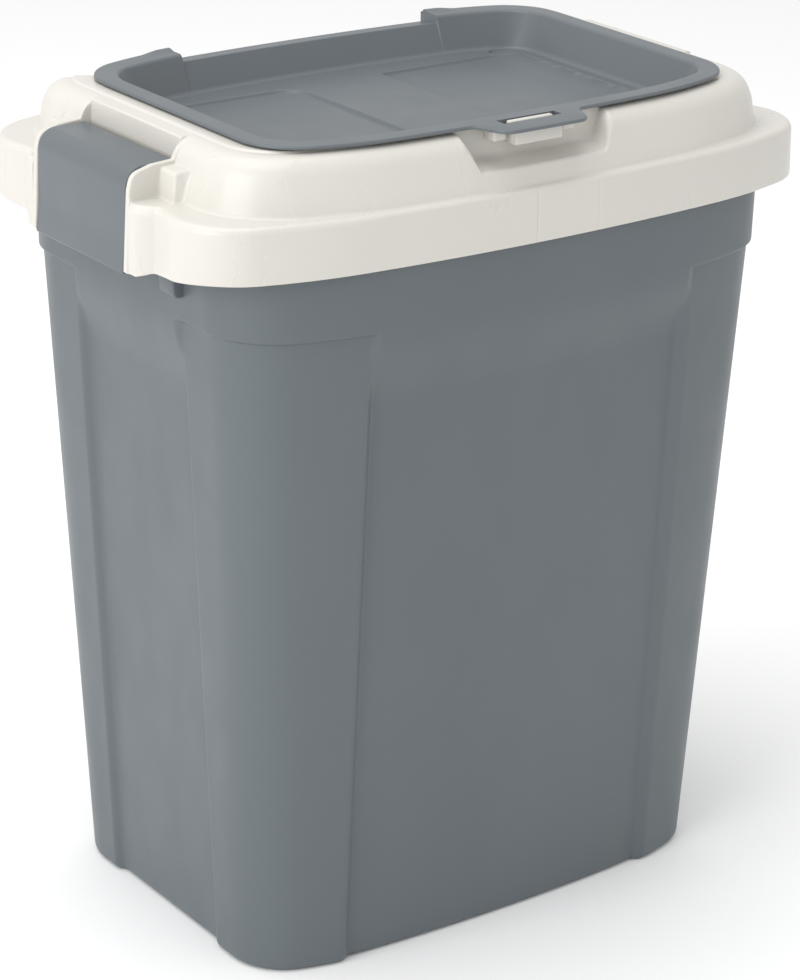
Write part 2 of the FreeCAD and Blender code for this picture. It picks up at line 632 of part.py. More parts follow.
def make_hatch():
    hatch = new_body("hatch")
    under, thick, wall = size("rim_underside"), size("rim_thick"), size("tray_wall")
    top = under + thick
    none = wall * 0
    extrude(hatch, "rim", hatch_outline(hatch, "rim_plan", under, none), thick)
    width, back_width, taper = size("rim_width"), size("tray_back_inset"), size("tray_taper")
    floor = size("tray_level")
    outer_foot = hatch_outline(hatch, "tray_foot", floor, width + taper - wall, back_width + taper - wall)
    outer_head = hatch_outline(hatch, "tray_head", under, width - wall, back_width - wall)
    loft(hatch, "tray", outer_foot, outer_head)
    strip, hinge = size("strip_half"), size("hinge_back")
    low_strip = size("strip_top")
    edge = size("rim_back") + 1
    strip_front = size("rim_back") - back_width
    block(hatch, "strip_gap", (-strip, strip_front, low_strip), (strip, edge, top + 1), cut=True)
    strip_low = (-strip, strip_front - wall, low_strip - thick)
    block(hatch, "strip", strip_low, (strip, hinge + wall, low_strip))
    inner_foot = hatch_outline(hatch, "hollow_foot", floor + wall, width + taper, back_width + taper)
    inner_head = hatch_outline(hatch, "hollow_head", top, width, back_width)
    loft(hatch, "tray_hollow", inner_foot, inner_head, cut=True)
    tip, root = size("tab_half_tip"), size("tab_half_base")
    reach, front = size("tab_reach"), size("rim_front")
    corners = [(-root, -(front - 4)), (-tip, -reach), (tip, -reach), (root, -(front - 4))]
    extrude(hatch, "tab", polygon(hatch, "tab_plan", "XY_Plane", under, corners), thick)

    def tab_corner(edge):
        box = edge.BoundBox
        return box.ZLength > thick.value * 0.9 and box.XLength < 0.01 and abs(box.YMin + reach.value) < 0.01

    round_edges(hatch, "tab_corners", size("tab_corner"), tab_corner)
    slot = size("slot_half")
    slot_low = (-slot, -size("slot_front"), under - 1)
    block(hatch, "slot", slot_low, (slot, -size("slot_back"), top + 1), cut=True)
    radius, level = size("knuckle_radius"), size("hinge_level")
    bore = size("hatch_pin_radius") + size("pin_clearance")
    for side, sign in mirrored_sides():
        low_x, high_x = span(size("knuckle_inner"), size("knuckle_outer"), sign)
        rod(hatch, f"{side}_knuckle", (low_x, hinge, level), "x", radius, high_x - low_x)
        crown = top + size("bump_rise")
        block(hatch, f"{side}_bump", (low_x, hinge - radius, level), (high_x, hinge + radius, crown))
        rod(hatch, f"{side}_knuckle_bore", (low_x - 2, hinge, level), "x", bore, high_x - low_x + 4, cut=True)
    return hatch


# ---------------------------------------------------------------- the latches and the pins

def make_latch(side, sign):
    latch = new_body(f"{side}_latch")
    half, thick = size("latch_half"), size("latch_thick")
    outer = latch_profile(thick * 0, sign)
    inside_face = size("latch_face") - thick
    inner = [(size("latch_lip") - thick, size("latch_low")), (inside_face, size("latch_lip_level")),
             (inside_face, size("latch_brow_level") - thick),
             (size("latch_root"), size("latch_root_level") - thick)]
    corners = outer + [(across * sign, level) for across, level in inner]
    profile = polygon(latch, f"{side}_shell_profile", "XZ_Plane", -half, corners)
    extrude(latch, f"{side}_shell", profile, half * 2)
    for name, radius, face in (("outer", size("latch_bend"), size("latch_face")),
                               ("inner", size("latch_bend") - thick, inside_face)):
        def bend(edge, face=face.value):
            box = edge.BoundBox
            return box.YLength > half.value and abs(abs(box.Center.x) - face) < 0.01 and box.ZMin > 380
        round_edges(latch, f"{side}_{name}_bend", radius, bend)
    axis, level, radius = size("latch_axis") * sign, size("latch_axis_level"), size("barrel_radius")
    rod(latch, f"{side}_barrel", (axis, -half, level), "y", radius, half * 2)
    low_x, high_x = span(size("keeper_reach") + size("hook_gap"), size("latch_face") - 1, sign)
    hook = size("hook_top")
    block(latch, f"{side}_hook", (low_x, -(half - 4), hook - size("hook_thick")), (high_x, half - 4, hook))
    bore = size("latch_pin_radius") + size("pin_clearance")
    rod(latch, f"{side}_bore", (axis, -(half + 1), level), "y", bore, (half + 1) * 2, cut=True)
    return latch


def make_pin(name, start, axis, radius, length):
    body = new_body(name)
    rod(body, f"{name}_rod", start, axis, radius, length)
    return body


def make_pins():
    pins = []
    for side, sign in mirrored_sides():
        half = size("latch_pin_half")
        start = (size("latch_axis") * sign, -half, size("latch_axis_level"))
        pins.append(make_pin(f"{side}_latch_pin", start, "y", size("latch_pin_radius"), half * 2))
        low_x, high_x = span(size("knuckle_inner") + 0.2, size("ear_outer"), sign)
        start = (low_x, size("hinge_back"), size("hinge_level"))
        pins.append(make_pin(f"hatch_{side}_pin", start, "x", size("hatch_pin_radius"), high_x - low_x))
    return pins


# ---------------------------------------------------------------- the seals

def make_ring(name, outer, inner, height):
    """A flat ring between two outlines that are drawn by the given functions."""
    body = new_body(name)
    extrude(body, f"{name}_outside", outer(body), height)
    extrude(body, f"{name}_inside", inner(body), height, cut=True)
    return body


def make_gaskets():
    gap = size("gasket_gap")
    rim_step = size("collar_step") + size("collar_draft") - size("gasket_inset")
    low = size("rim_level") + gap
    lid_gasket = make_ring(
        "lid_gasket",
        lambda body: grown_outline(body, "lid_gasket_edge", low, rim_step),
        lambda body: grown_outline(body, "lid_gasket_hole", low, rim_step - size("gasket_width")),
        size("ledge_level") - size("shell") - low)
    seat = size("seat_level")
    edge = well_inset() + size("hatch_gasket_inset")
    back_edge = well_back_inset() + size("hatch_gasket_inset")
    width = size("hatch_gasket_width")
    hatch_gasket = make_ring(
        "hatch_gasket",
        lambda body: hatch_outline(body, "hatch_gasket_edge", seat, edge, back_edge),
        lambda body: hatch_outline(body, "hatch_gasket_hole", seat, edge + width, back_edge + width),
        size("tray_level") - gap - seat)
    return [lid_gasket, hatch_gasket]


def check(parts):
    """Stops if any object failed or any piece isn't one valid solid."""
    doc.recompute()
    for item in doc.Objects:
        if "Invalid" in item.State or "Error" in item.State:
            raise RuntimeError(f"{item.Name} failed: {item.State}")
    for part in parts:
        shape = part.Shape
        if shape.isNull() or not shape.isValid() or len(shape.Solids) != 1:
            raise RuntimeError(f"{part.Label} is not one valid solid")


def main():
    parts = [make_bucket(), make_lid(), make_hatch()]
    parts += [make_latch(side, sign) for side, sign in mirrored_sides()]
    parts += make_pins()
    parts += make_gaskets()
    check(parts)
    os.makedirs("parts", exist_ok=True)
    for part in parts:
        part.Shape.exportStep(f"parts/{part.Label}.step")
        box = part.Shape.BoundBox
        print(f"{part.Label}: {part.Shape.Volume / 1000:.1f} cm3, "
              f"x {box.XMin:.1f}..{box.XMax:.1f}, y {box.YMin:.1f}..{box.YMax:.1f}, "
              f"z {box.ZMin:.1f}..{box.ZMax:.1f}")


main()
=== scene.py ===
# %% [markdown]
# # A pet food bin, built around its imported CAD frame
# The bin is four kinds of moulded plastic part: a tapered bucket, a domed lid, a tray-shaped hatch and
# two side latches. A moulded part is a skin of even thickness whose every edge is a little round. That
# round edge is what catches the light, so this script spends its points there. It draws each skin as one
# cross-section that is carried round the bin, and changes shape on the way where a notch, a cheek or a
# tab asks for it.

# %% Load the frame
import math
import bpy
import bmesh
import numpy as np
from mathutils import Matrix, Vector
from mathutils.geometry import delaunay_2d_cdt


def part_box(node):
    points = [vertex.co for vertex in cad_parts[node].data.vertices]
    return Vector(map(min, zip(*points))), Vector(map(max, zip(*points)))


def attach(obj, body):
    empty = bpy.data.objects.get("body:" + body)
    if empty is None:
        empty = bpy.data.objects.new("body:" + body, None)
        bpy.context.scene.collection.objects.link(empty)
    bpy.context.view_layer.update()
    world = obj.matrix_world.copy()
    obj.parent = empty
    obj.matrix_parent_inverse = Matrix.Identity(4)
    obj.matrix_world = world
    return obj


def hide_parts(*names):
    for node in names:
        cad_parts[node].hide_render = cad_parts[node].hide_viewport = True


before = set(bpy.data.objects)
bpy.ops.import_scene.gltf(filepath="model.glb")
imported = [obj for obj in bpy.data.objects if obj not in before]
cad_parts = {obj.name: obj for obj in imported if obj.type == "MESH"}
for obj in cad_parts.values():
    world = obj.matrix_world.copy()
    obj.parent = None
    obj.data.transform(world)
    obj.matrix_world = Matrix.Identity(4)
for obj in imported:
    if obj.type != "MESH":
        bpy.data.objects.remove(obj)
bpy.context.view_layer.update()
MM = 0.001

# %% [markdown]
# Lengths below are in millimetres, because a plastic part is drawn in them. The lid's width and the
# hatch's reach come from the frame's own nodes. The rest are the design's own sizes, given a name where
# they are used.

# %% Read the driving sizes from the frame
def span(node):
    """A node's lowest and highest corners, in millimetres."""
    low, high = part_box(node)
    return np.array(low) / MM, np.array(high) / MM


_, lid_high = span("lid")
hatch_low, hatch_high = span("hatch")
BOW = 1100.0            # the long sides bulge along this radius
WALL = 2.6              # wall of the bucket and of the lid
SKIRT_LEVEL = 348.0     # foot of the skirt away from the latches
SKIRT_HALF_WIDTH = lid_high[1]
SKIRT_HALF_LENGTH = 170.0
LEDGE_LEVEL = SKIRT_LEVEL + 27
DOME_LEVEL = LEDGE_LEVEL + 25
RIM_HALF_LENGTH = hatch_high[0]
TAB_REACH = -hatch_low[1]
RIM_UNDERSIDE = DOME_LEVEL + 1
RIM_TOP = RIM_UNDERSIDE + 1.7
print("skirt", SKIRT_LEVEL, "ledge", LEDGE_LEVEL, "dome", DOME_LEVEL, "rim top", RIM_TOP)

# %% [markdown]
# ## The camera, the light and the floor
# The camera stands in front of the bin's left corner, a little above the lid, with a long lens. One large
# soft lamp on the left makes the short side lighter than the long one, a second lamp above lights the lid
# and the floor, and a grey sky fills the shadows.

# %% Set the camera
CAMERA_AZIMUTH = math.radians(35.97)
CAMERA_HEIGHT = math.radians(21.77)
CAMERA_DISTANCE = 1571.7
CAMERA_TARGET = np.array([3.8, 0.0, 189.9])
CAMERA_ROLL = math.radians(1.02)
back = np.array([-math.sin(CAMERA_AZIMUTH) * math.cos(CAMERA_HEIGHT),
                 -math.cos(CAMERA_AZIMUTH) * math.cos(CAMERA_HEIGHT), math.sin(CAMERA_HEIGHT)])
camera_data = bpy.data.cameras.new("camera")
camera_data.lens = 117.8
camera_data.sensor_width = 36.0
camera_data.sensor_fit = "AUTO"
camera_data.clip_start = 0.05
camera_data.clip_end = 50
camera = bpy.data.objects.new("camera", camera_data)
bpy.context.scene.collection.objects.link(camera)
turn = Vector(back).to_track_quat("Z", "Y").to_matrix().to_4x4() @ Matrix.Rotation(CAMERA_ROLL, 4, "Z")
camera.matrix_world = Matrix.Translation(Vector((CAMERA_TARGET + back * CAMERA_DISTANCE) * MM)) @ turn
bpy.context.scene.camera = camera
bpy.context.scene.view_settings.view_transform = "Standard"
print("camera at", [round(v, 3) for v in camera.matrix_world.translation])

# %% Set the lamps, the sky and the floor
def area_lamp(name, place, aim, width, power):
    """A square soft lamp at a place, in metres, turned towards a point."""
    data = bpy.data.lights.new(name, "AREA")
    data.shape = "SQUARE"
    data.size = width
    data.energy = power
    lamp = bpy.data.objects.new(name, data)
    lamp.location = place
    lamp.rotation_euler = (Vector(place) - Vector(aim)).to_track_quat("Z", "Y").to_euler()
    bpy.context.scene.collection.objects.link(lamp)
    return lamp


MIDDLE = (0, 0, 0.25)
area_lamp("left_softbox", (-1.9, -0.35, 0.95), MIDDLE, 1.3, 19)
area_lamp("top_softbox", (-0.3, 0.2, 2.3), MIDDLE, 1.8, 22)
area_lamp("front_fill", (0.5, -2.2, 0.7), MIDDLE, 1.4, 1.0)
world = bpy.data.worlds.new("studio")
world.use_nodes = True
world.node_tree.nodes["Background"].inputs["Color"].default_value = (1, 1, 1, 1)
world.node_tree.nodes["Background"].inputs["Strength"].default_value = 0.8
bpy.context.scene.world = world
floor_mesh = bpy.data.meshes.new("floor")
FLOOR_HALF = 12.0
corners = [(-FLOOR_HALF, -FLOOR_HALF, 0), (FLOOR_HALF, -FLOOR_HALF, 0),
           (FLOOR_HALF, FLOOR_HALF, 0), (-FLOOR_HALF, FLOOR_HALF, 0)]
floor_mesh.from_pydata(corners, [], [(0, 1, 2, 3)])
floor_material = bpy.data.materials.new("studio_paper")
floor_material.use_nodes = True
paper = floor_material.node_tree.nodes["Principled BSDF"]
paper.inputs["Base Color"].default_value = (0.97, 0.97, 0.97, 1)
paper.inputs["Roughness"].default_value = 0.9
floor_mesh.materials.append(floor_material)
floor = bpy.data.objects.new("floor", floor_mesh)
bpy.context.scene.collection.objects.link(floor)

# %% [markdown]
# ## The plastics
# Polypropylene isn't one flat colour. The mould leaves a fine grain, the melt leaves faint long clouds
# where it flowed and cooled, and handling leaves duller patches. Each of these is a noise on Object
# coordinates, so it sits still on the piece. The grain goes to the bump, the clouds to colour and
# roughness.

# %% A material for moulded plastic
def moulded_plastic(name, colour, roughness, grain, grain_size=0.35, clouds=0.05, scatter=0.0, scuffs=0.0):
    """Colour with faint flow clouds, mould grain in the bump, and worn patches in the roughness."""
    material = bpy.data.materials.new(name)
    material.use_nodes = True
    nodes, links = material.node_tree.nodes, material.node_tree.links
    shader = nodes["Principled BSDF"]
    place = nodes.new("ShaderNodeTexCoord")

    def noise(scale, detail, stretch=(1, 1, 1)):
        mapping = nodes.new("ShaderNodeMapping")
        mapping.inputs["Scale"].default_value = stretch
        texture = nodes.new("ShaderNodeTexNoise")
        texture.inputs["Scale"].default_value = scale
        texture.inputs["Detail"].default_value = detail
        links.new(place.outputs["Object"], mapping.inputs["Vector"])
        links.new(mapping.outputs["Vector"], texture.inputs["Vector"])
        return texture.outputs["Fac"]

    def remap(value, low, high):
        step = nodes.new("ShaderNodeMapRange")
        step.interpolation_type = "SMOOTHSTEP"
        step.inputs["From Min"].default_value = 0.15
        step.inputs["From Max"].default_value = 0.85
        step.inputs["To Min"].default_value = low
        step.inputs["To Max"].default_value = high
        links.new(value, step.inputs["Value"])
        return step.outputs["Result"]

    flow = noise(9, 3, (1, 1, 0.35))
    tint = nodes.new("ShaderNodeMix")
    tint.data_type = "RGBA"
    tint.inputs["A"].default_value = (*[c * (1 - clouds) for c in colour], 1)
    tint.inputs["B"].default_value = (*[min(1, c * (1 + clouds)) for c in colour], 1)
    links.new(remap(flow, 0, 1), tint.inputs["Factor"])
    links.new(tint.outputs["Result"], shader.inputs["Base Color"])
    worn = noise(45, 5, (1, 1, 0.5))
    links.new(remap(worn, roughness - 0.05 - scuffs, roughness + 0.05 + scuffs), shader.inputs["Roughness"])
    fine = noise(1000 / grain_size, 2)
    wide = noise(60, 2)
    bump = nodes.new("ShaderNodeBump")
    bump.inputs["Strength"].default_value = grain
    bump.inputs["Distance"].default_value = 0.05 * MM
    sink = nodes.new("ShaderNodeBump")
    sink.inputs["Strength"].default_value = 0.25
    sink.inputs["Distance"].default_value = 0.3 * MM
    links.new(fine, bump.inputs["Height"])
    links.new(wide, sink.inputs["Height"])
    links.new(sink.outputs["Normal"], bump.inputs["Normal"])
    links.new(bump.outputs["Normal"], shader.inputs["Normal"])
    shader.inputs["IOR"].default_value = 1.49
    if scatter:
        shader.inputs["Subsurface Weight"].default_value = scatter
        shader.inputs["Subsurface Radius"].default_value = (1.0, 0.8, 0.6)
        shader.inputs["Subsurface Scale"].default_value = 2 * MM
    return material


GREY = (0.106, 0.125, 0.136)
bucket_plastic = moulded_plastic("bucket_grey", GREY, 0.42, 0.5, clouds=0.03, scuffs=0.03)
hatch_plastic = moulded_plastic("hatch_grey", (0.120, 0.136, 0.149), 0.40, 0.45, clouds=0.025)
latch_plastic = moulded_plastic("latch_grey", (0.120, 0.136, 0.149), 0.40, 0.45, clouds=0.025)
lid_plastic = moulded_plastic("lid_cream", (0.62, 0.60, 0.555), 0.30, 0.25, clouds=0.012, scatter=0.15)
silicone = moulded_plastic("seal_silicone", (0.62, 0.63, 0.62), 0.55, 0.3, clouds=0.02, scatter=0.3)
steel = moulded_plastic("pin_steel", (0.55, 0.55, 0.56), 0.28, 0.2, clouds=0.05)
steel.node_tree.nodes["Principled BSDF"].inputs["Metallic"].default_value = 1.0
print("materials:", [m.name for m in bpy.data.materials])

# %% [markdown]
# ## Outlines that can be walked together
# Seen from above, every ring of the bin is a rectangle with bulging long sides and round corners: the
# foot, the skirt, the dome, the hatch, the well. A cross-section needs a matching point on each of them.
# So each outline is cut at the same eight places, and a *station* between 0 and 8 means the same place on
# all of them: 0 to 1 is the front, 1 to 2 a corner, 2 to 3 the right side, and so on round.

# %% The outline
KEY_X = 95.0            # ends of the stretch of a long side that all outlines share
KEY_Y = 56.0            # ends of the stretch of a short side that all outlines share
SIDE_LEAN = math.radians(18)    # a bulging side eases to this lean before the tight corner starts


class Outline:
    """A closed outline, walked anticlockwise from the middle of the front."""

    def __init__(self, half_length, front, back_reach, corner):
        tight, gentle = corner * 0.88, half_length * 1.3
        room = half_length - tight * (1 - math.sin(SIDE_LEAN)) - gentle * math.sin(SIDE_LEAN)
        bow_lean = math.asin(room / (BOW - gentle))
        arcs = [(BOW, 0, bow_lean, 60), (gentle, bow_lean, SIDE_LEAN, 60),
                (tight, SIDE_LEAN, math.pi / 2, 150)]
        x, rise, leans = [0.0], [0.0], [0.0]
        for radius, first, last, count in arcs:
            for lean in np.linspace(first, last, count + 1)[1:]:
                x.append(x[-1] + radius * (math.sin(lean) - math.sin(leans[-1])))
                rise.append(rise[-1] + radius * (math.cos(leans[-1]) - math.cos(lean)))
                leans.append(lean)
        x, rise, leans = np.array(x), np.array(rise), np.array(leans)
        right_x = np.concatenate([x, x[::-1]])
        right_y = np.concatenate([rise - front, back_reach - rise[::-1]])
        across = np.concatenate([np.sin(leans), np.sin(leans[::-1])])
        along = np.concatenate([-np.cos(leans), np.cos(leans[::-1])])
        steps = np.hypot(np.diff(right_x), np.diff(right_y))
        travel = np.concatenate([[0], np.cumsum(steps)])
        half = travel[-1]
        self.length = 2 * half
        self.travel = np.concatenate([travel, half + travel[1:]])
        self.rows = np.stack([np.concatenate([right_x, -right_x[-2::-1]]),
                              np.concatenate([right_y, right_y[-2::-1]]),
                              np.concatenate([across, -across[-2::-1]]),
                              np.concatenate([along, along[-2::-1]])])
        corner_end = len(x)
        front_key = np.interp(KEY_X, x, travel[:corner_end])
        back_key = np.interp(-KEY_X, -right_x[corner_end:], travel[corner_end:])
        low_key, high_key = np.interp([-KEY_Y, KEY_Y], right_y, travel)
        right = [front_key, low_key, high_key, back_key]
        self.keys = np.array([-front_key] + right + [self.length - key for key in right[::-1]])

    def walk(self, stations):
        """Points and outward normals at the stations."""
        stations = np.mod(stations, 8)
        travel = np.mod(np.interp(stations, np.arange(9), self.keys), self.length)
        values = np.array([np.interp(travel, self.travel, row) for row in self.rows]).T
        return values[:, :2], unit(values[:, 2:])


def unit(vectors):
    return vectors / np.maximum(np.linalg.norm(vectors, axis=-1, keepdims=True), 1e-9)


def front_station(x):
    return (np.asarray(x, float) + KEY_X) / (2 * KEY_X)


def right_station(y):
    return 2 + (np.asarray(y, float) + KEY_Y) / (2 * KEY_Y)


def back_station(x):
    return 4 + (KEY_X - np.asarray(x, float)) / (2 * KEY_X)


def left_station(y):
    return 6 + (KEY_Y - np.asarray(y, float)) / (2 * KEY_Y)


skirt_line = Outline(SKIRT_HALF_LENGTH, SKIRT_HALF_WIDTH, SKIRT_HALF_WIDTH, 32)
print("skirt outline is", round(skirt_line.length), "mm long, keys", [round(k) for k in skirt_line.keys])

# %% [markdown]
# ## From corners to a round skin
# A cross-section is given by its sharp corners and a radius for each, as on a drawing. `round_corners`
# swaps each corner for an arc, for all the cross-sections at once. `skin` joins neighbouring
# cross-sections with faces.

# %% Round the corners of many cross-sections at once
def round_corners(points, radii, steps, closed):
    """points is sections x corners x 3; returns sections x samples x 3 with each corner as an arc."""
    before, after = np.roll(points, 1, axis=1), np.roll(points, -1, axis=1)
    way_in, way_out = unit(points - before), unit(after - points)
    cosine = np.clip((way_in * way_out).sum(2), -0.999, 1)
    half_tan = np.sqrt((1 - cosine) / (1 + cosine))
    cut = radii * half_tan
    leg = np.linalg.norm(after - points, axis=2)
    fit = np.minimum(1, 0.98 * leg / np.maximum(cut + np.roll(cut, -1, axis=1), 1e-6))
    cut = cut * np.minimum(fit, np.roll(fit, 1, axis=1))
    radius = cut / np.maximum(half_tan, 1e-6)
    angle = np.arccos(cosine)
    across = unit(way_out - way_in * cosine[..., None])
    samples = []
    for corner in range(points.shape[1]):
        if not closed and corner in (0, points.shape[1] - 1):
            samples.append(points[:, corner])
            continue
        start = points[:, corner] - way_in[:, corner] * cut[:, corner, None]
        for share in np.linspace(0, 1, steps[corner]) if steps[corner] > 1 else [0.5]:
            swing = (angle[:, corner] * share)[:, None]
            arc = way_in[:, corner] * np.sin(swing) + across[:, corner] * (1 - np.cos(swing))
            line = way_in[:, corner] * (2 * share * cut[:, corner, None])
            bent = angle[:, corner, None] > 1e-3
            samples.append(start + np.where(bent, radius[:, corner, None] * arc, line))
    return np.stack(samples, 1)


# %% Join the cross-sections into a mesh
def skin(grid, closed):
    """Faces between neighbouring sections, which run all the way round."""
    sections, samples = grid.shape[:2]
    index = np.arange(sections * samples).reshape(sections, samples)
    ahead = np.roll(index, -1, axis=0)
    last = samples if closed else samples - 1
    first = index[:, :last]
    second = np.roll(index, -1, axis=1)[:, :last]
    third = np.roll(ahead, -1, axis=1)[:, :last]
    fourth = ahead[:, :last]
    return np.stack([first, fourth, third, second], -1).reshape(-1, 4).tolist()


def make_object(name, mesh, body, crease=50):
    """An object for a finished mesh, which rides on a CAD body."""
    mesh.shade_smooth()
    if crease:
        mesh.set_sharp_from_angle(angle=math.radians(crease))
    piece = bpy.data.objects.new(name, mesh)
    bpy.context.scene.collection.objects.link(piece)
    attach(piece, body)
    print(name, "has", len(mesh.polygons), "faces")
    return piece


def make_piece(name, points, faces, material, body, slot, crease=None):
    """A smooth mesh object from millimetre points, which rides on a CAD body."""
    mesh = bpy.data.meshes.new(name)
    mesh.from_pydata((np.asarray(points) * MM).tolist(), [], faces)
    work = bmesh.new()
    work.from_mesh(mesh)
    bmesh.ops.remove_doubles(work, verts=work.verts, dist=0.002 * MM)
    bmesh.ops.dissolve_degenerate(work, edges=work.edges, dist=0.002 * MM)
    bmesh.ops.recalc_face_normals(work, faces=work.faces)
    work.to_mesh(mesh)
    work.free()
    mesh.materials.append(material)
    return make_object(name, mesh, body, crease)


def smooth(value, low, high):
    """0 below low, 1 above high, and an even curve between them."""
    share = np.clip((np.asarray(value, float) - low) / (high - low), 0, 1)
    return share * share * (3 - 2 * share)


# %% [markdown]
# ## Sections that change on the way
# The lid's section is the same almost everywhere, and differs where something is cut in or stands out. A
# *row* is one corner of the section: its outline, its height and its rounding. Each special place lists
# only the rows it changes and says how strongly it applies at each station. The blend between two places
# is short, so it reads as a small rounded edge.

# %% Blend the rows of a section
def section_points(rows, places, stations, count):
    """Corner points and radii for each station; places are (strength at each station, changed rows)."""
    points = np.zeros((len(stations), count, 3))
    radii = np.zeros((len(stations), count))
    for number, (name, row) in enumerate(rows.items()):
        left = np.ones(len(stations))
        for strength, changed in places:
            if name in changed:
                left = left - strength
                add_row(points, radii, number, changed[name], stations, strength)
        add_row(points, radii, number, row, stations, np.maximum(left, 0))
    return points, radii


def add_row(points, radii, number, row, stations, strength):
    """Add one weighted row: half length, front, back, corner, height, rounding."""
    half_length, front, back_reach, corner, height, rounding = row
    place, _ = Outline(half_length, front, back_reach, corner).walk(stations)
    points[:, number, :2] += place * strength[:, None]
    points[:, number, 2] += height * strength
    radii[:, number] += rounding * strength


def around(values, marks, spread=(0.12, 0.3, 0.6, 1.2)):
    """Even values, and closer ones at the marks, where a section changes quickly."""
    extra = [mark + side * gap for mark in marks for gap in spread for side in (-1, 1)]
    return np.unique(np.round(np.concatenate([values, extra, marks]), 3))


def loop_stations(front, right, back, left, corner_steps):
    """Stations all the way round from the places wanted on each side and a count for each corner."""
    corner = np.linspace(0, 1, corner_steps + 2)[1:-1]
    sides = [np.sort(front_station(front)), 1 + corner, np.sort(right_station(right)), 3 + corner,
             np.sort(back_station(back)), 5 + corner, np.sort(left_station(left)), 7 + corner]
    return np.concatenate(sides)


print("sections ready")

# %% [markdown]
# ## The lid
# The lid is one moulding. From outside to inside its section runs up the skirt, over a round shoulder to
# the ledge, up the dome, over the deck and down the wall of the well that takes the hatch. The same wall
# comes back underneath. It is drawn as one closed line, so it has no seam. On the short sides the ledge
# is cut back for the latch, between two cheeks. In front a finger notch is scooped out of the dome, and
# behind, the deck is cut down so that the hatch can swing.

# %% The lid's rows and the places that change them
def skirt_row(half_length, height, rounding):
    inset = SKIRT_HALF_LENGTH - half_length
    half_width = SKIRT_HALF_WIDTH - inset
    return half_length, half_width, half_width, max(30, 38 - inset * 0.8), height, rounding


def dome_row(half_length, height, rounding):
    inset = 153.8 - half_length
    half_width = 113.8 - inset
    return half_length, half_width, half_width, 42 - inset * 0.6, height, rounding


def well_row(inset, height, rounding, back_inset=None):
    """A row that follows the hatch's rim, drawn in by the inset."""
    back_reach = 87.6 - (inset + 2 if back_inset is None else back_inset)
    return RIM_HALF_LENGTH - inset, 101.4 - inset, back_reach, 33 - inset, height, rounding


SEAT_LEVEL = 381.8
NECK_LEVEL = 379.6
lid_rows = {
    "skirt_low": skirt_row(170.0, 349.6, 0.9), "skirt_mid": skirt_row(169.6, 369, 0),
    "skirt_high": skirt_row(169.5, 371.4, 0), "skirt_top": skirt_row(169.4, 375, 3.6),
    "foot": (153.8, 113.8, 113.8, 50, 375, 2.6), "dome_low": (151.9, 111.9, 111.9, 47, 380.5, 0),
    "dome_high": dome_row(149.2, 388.2, 0), "shoulder": dome_row(145.2, 399.5, 12),
    "deck_step": dome_row(137.2, 399.5, 0.9), "deck": dome_row(136.0, 400.3, 0.9),
    "lip": well_row(6.3, 400.3, 1.1), "well_foot": well_row(6.3, SEAT_LEVEL, 1.2),
    "hole_top": well_row(20.3, SEAT_LEVEL, 0.7), "hole_low": well_row(20.3, NECK_LEVEL, 0.7),
    "neck_low": well_row(3.7, NECK_LEVEL, 0.9), "neck_top": well_row(3.7, 397.2, 1.5),
    "inner_shoulder": dome_row(142.4, 396.6, 9), "inner_foot": (150.4, 110.4, 110.4, 47, 375.6, 0.8),
    "flange_edge": dome_row(143, 375, 0.9), "flange_low": dome_row(143, 372.4, 0.9),
    "skirt_in_top": skirt_row(166.6, 372.4, 1.2), "skirt_in_low": skirt_row(167.2, 349.6, 0.9)}
latch_bay = {
    "skirt_low": skirt_row(163.5, 372.6, 0.2), "skirt_mid": skirt_row(163.5, 373.2, 0),
    "skirt_high": skirt_row(163.5, 374, 0), "skirt_top": skirt_row(163.5, 375, 0.7),
    "foot": dome_row(144, 375, 1.4), "dome_low": dome_row(144, 380.5, 0),
    "dome_high": dome_row(144, 388.2, 0),
    "shoulder": dome_row(144, 399.2, 0.9), "inner_shoulder": dome_row(141.6, 396.6, 1.5),
    "inner_foot": dome_row(141.4, 375.6, 0.3), "flange_edge": dome_row(141.2, 375, 0.3),
    "flange_low": dome_row(141.1, 372.4, 0.3), "skirt_in_top": skirt_row(162.9, 372.4, 0.2),
    "skirt_in_low": skirt_row(163.2, 372.4, 0.2)}
cheek = {
    "skirt_low": skirt_row(174.2, 342.5, 0.9), "skirt_mid": skirt_row(173.6, 353, 20),
    "skirt_high": skirt_row(172.8, 370, 8), "skirt_top": skirt_row(172.3, 380.0, 8),
    "foot": dome_row(170.6, 387.0, 6), "dome_low": dome_row(160.5, 389.8, 3),
    "dome_high": dome_row(149.6, 390.5, 0.8)}
flange = {
    "skirt_low": skirt_row(173.4, 342.5, 0.9), "skirt_mid": skirt_row(173.2, 372.4, 2.6),
    "skirt_high": skirt_row(172.0, 375.0, 1.5), "skirt_top": skirt_row(170.6, 375.2, 0)}
boss = {
    "foot": dome_row(157.5, 375, 1.6), "dome_low": dome_row(156.6, 388.5, 1.8),
    "dome_high": dome_row(149.4, 388.9, 1.2)}


def moved(row, front=None, back_reach=None, height=None, rounding=None):
    """The same row with its front, back, height or rounding changed."""
    half_length, old_front, old_back, corner, old_height, old_rounding = row
    return (half_length, old_front if front is None else front,
            old_back if back_reach is None else back_reach, corner,
            old_height if height is None else height, old_rounding if rounding is None else rounding)


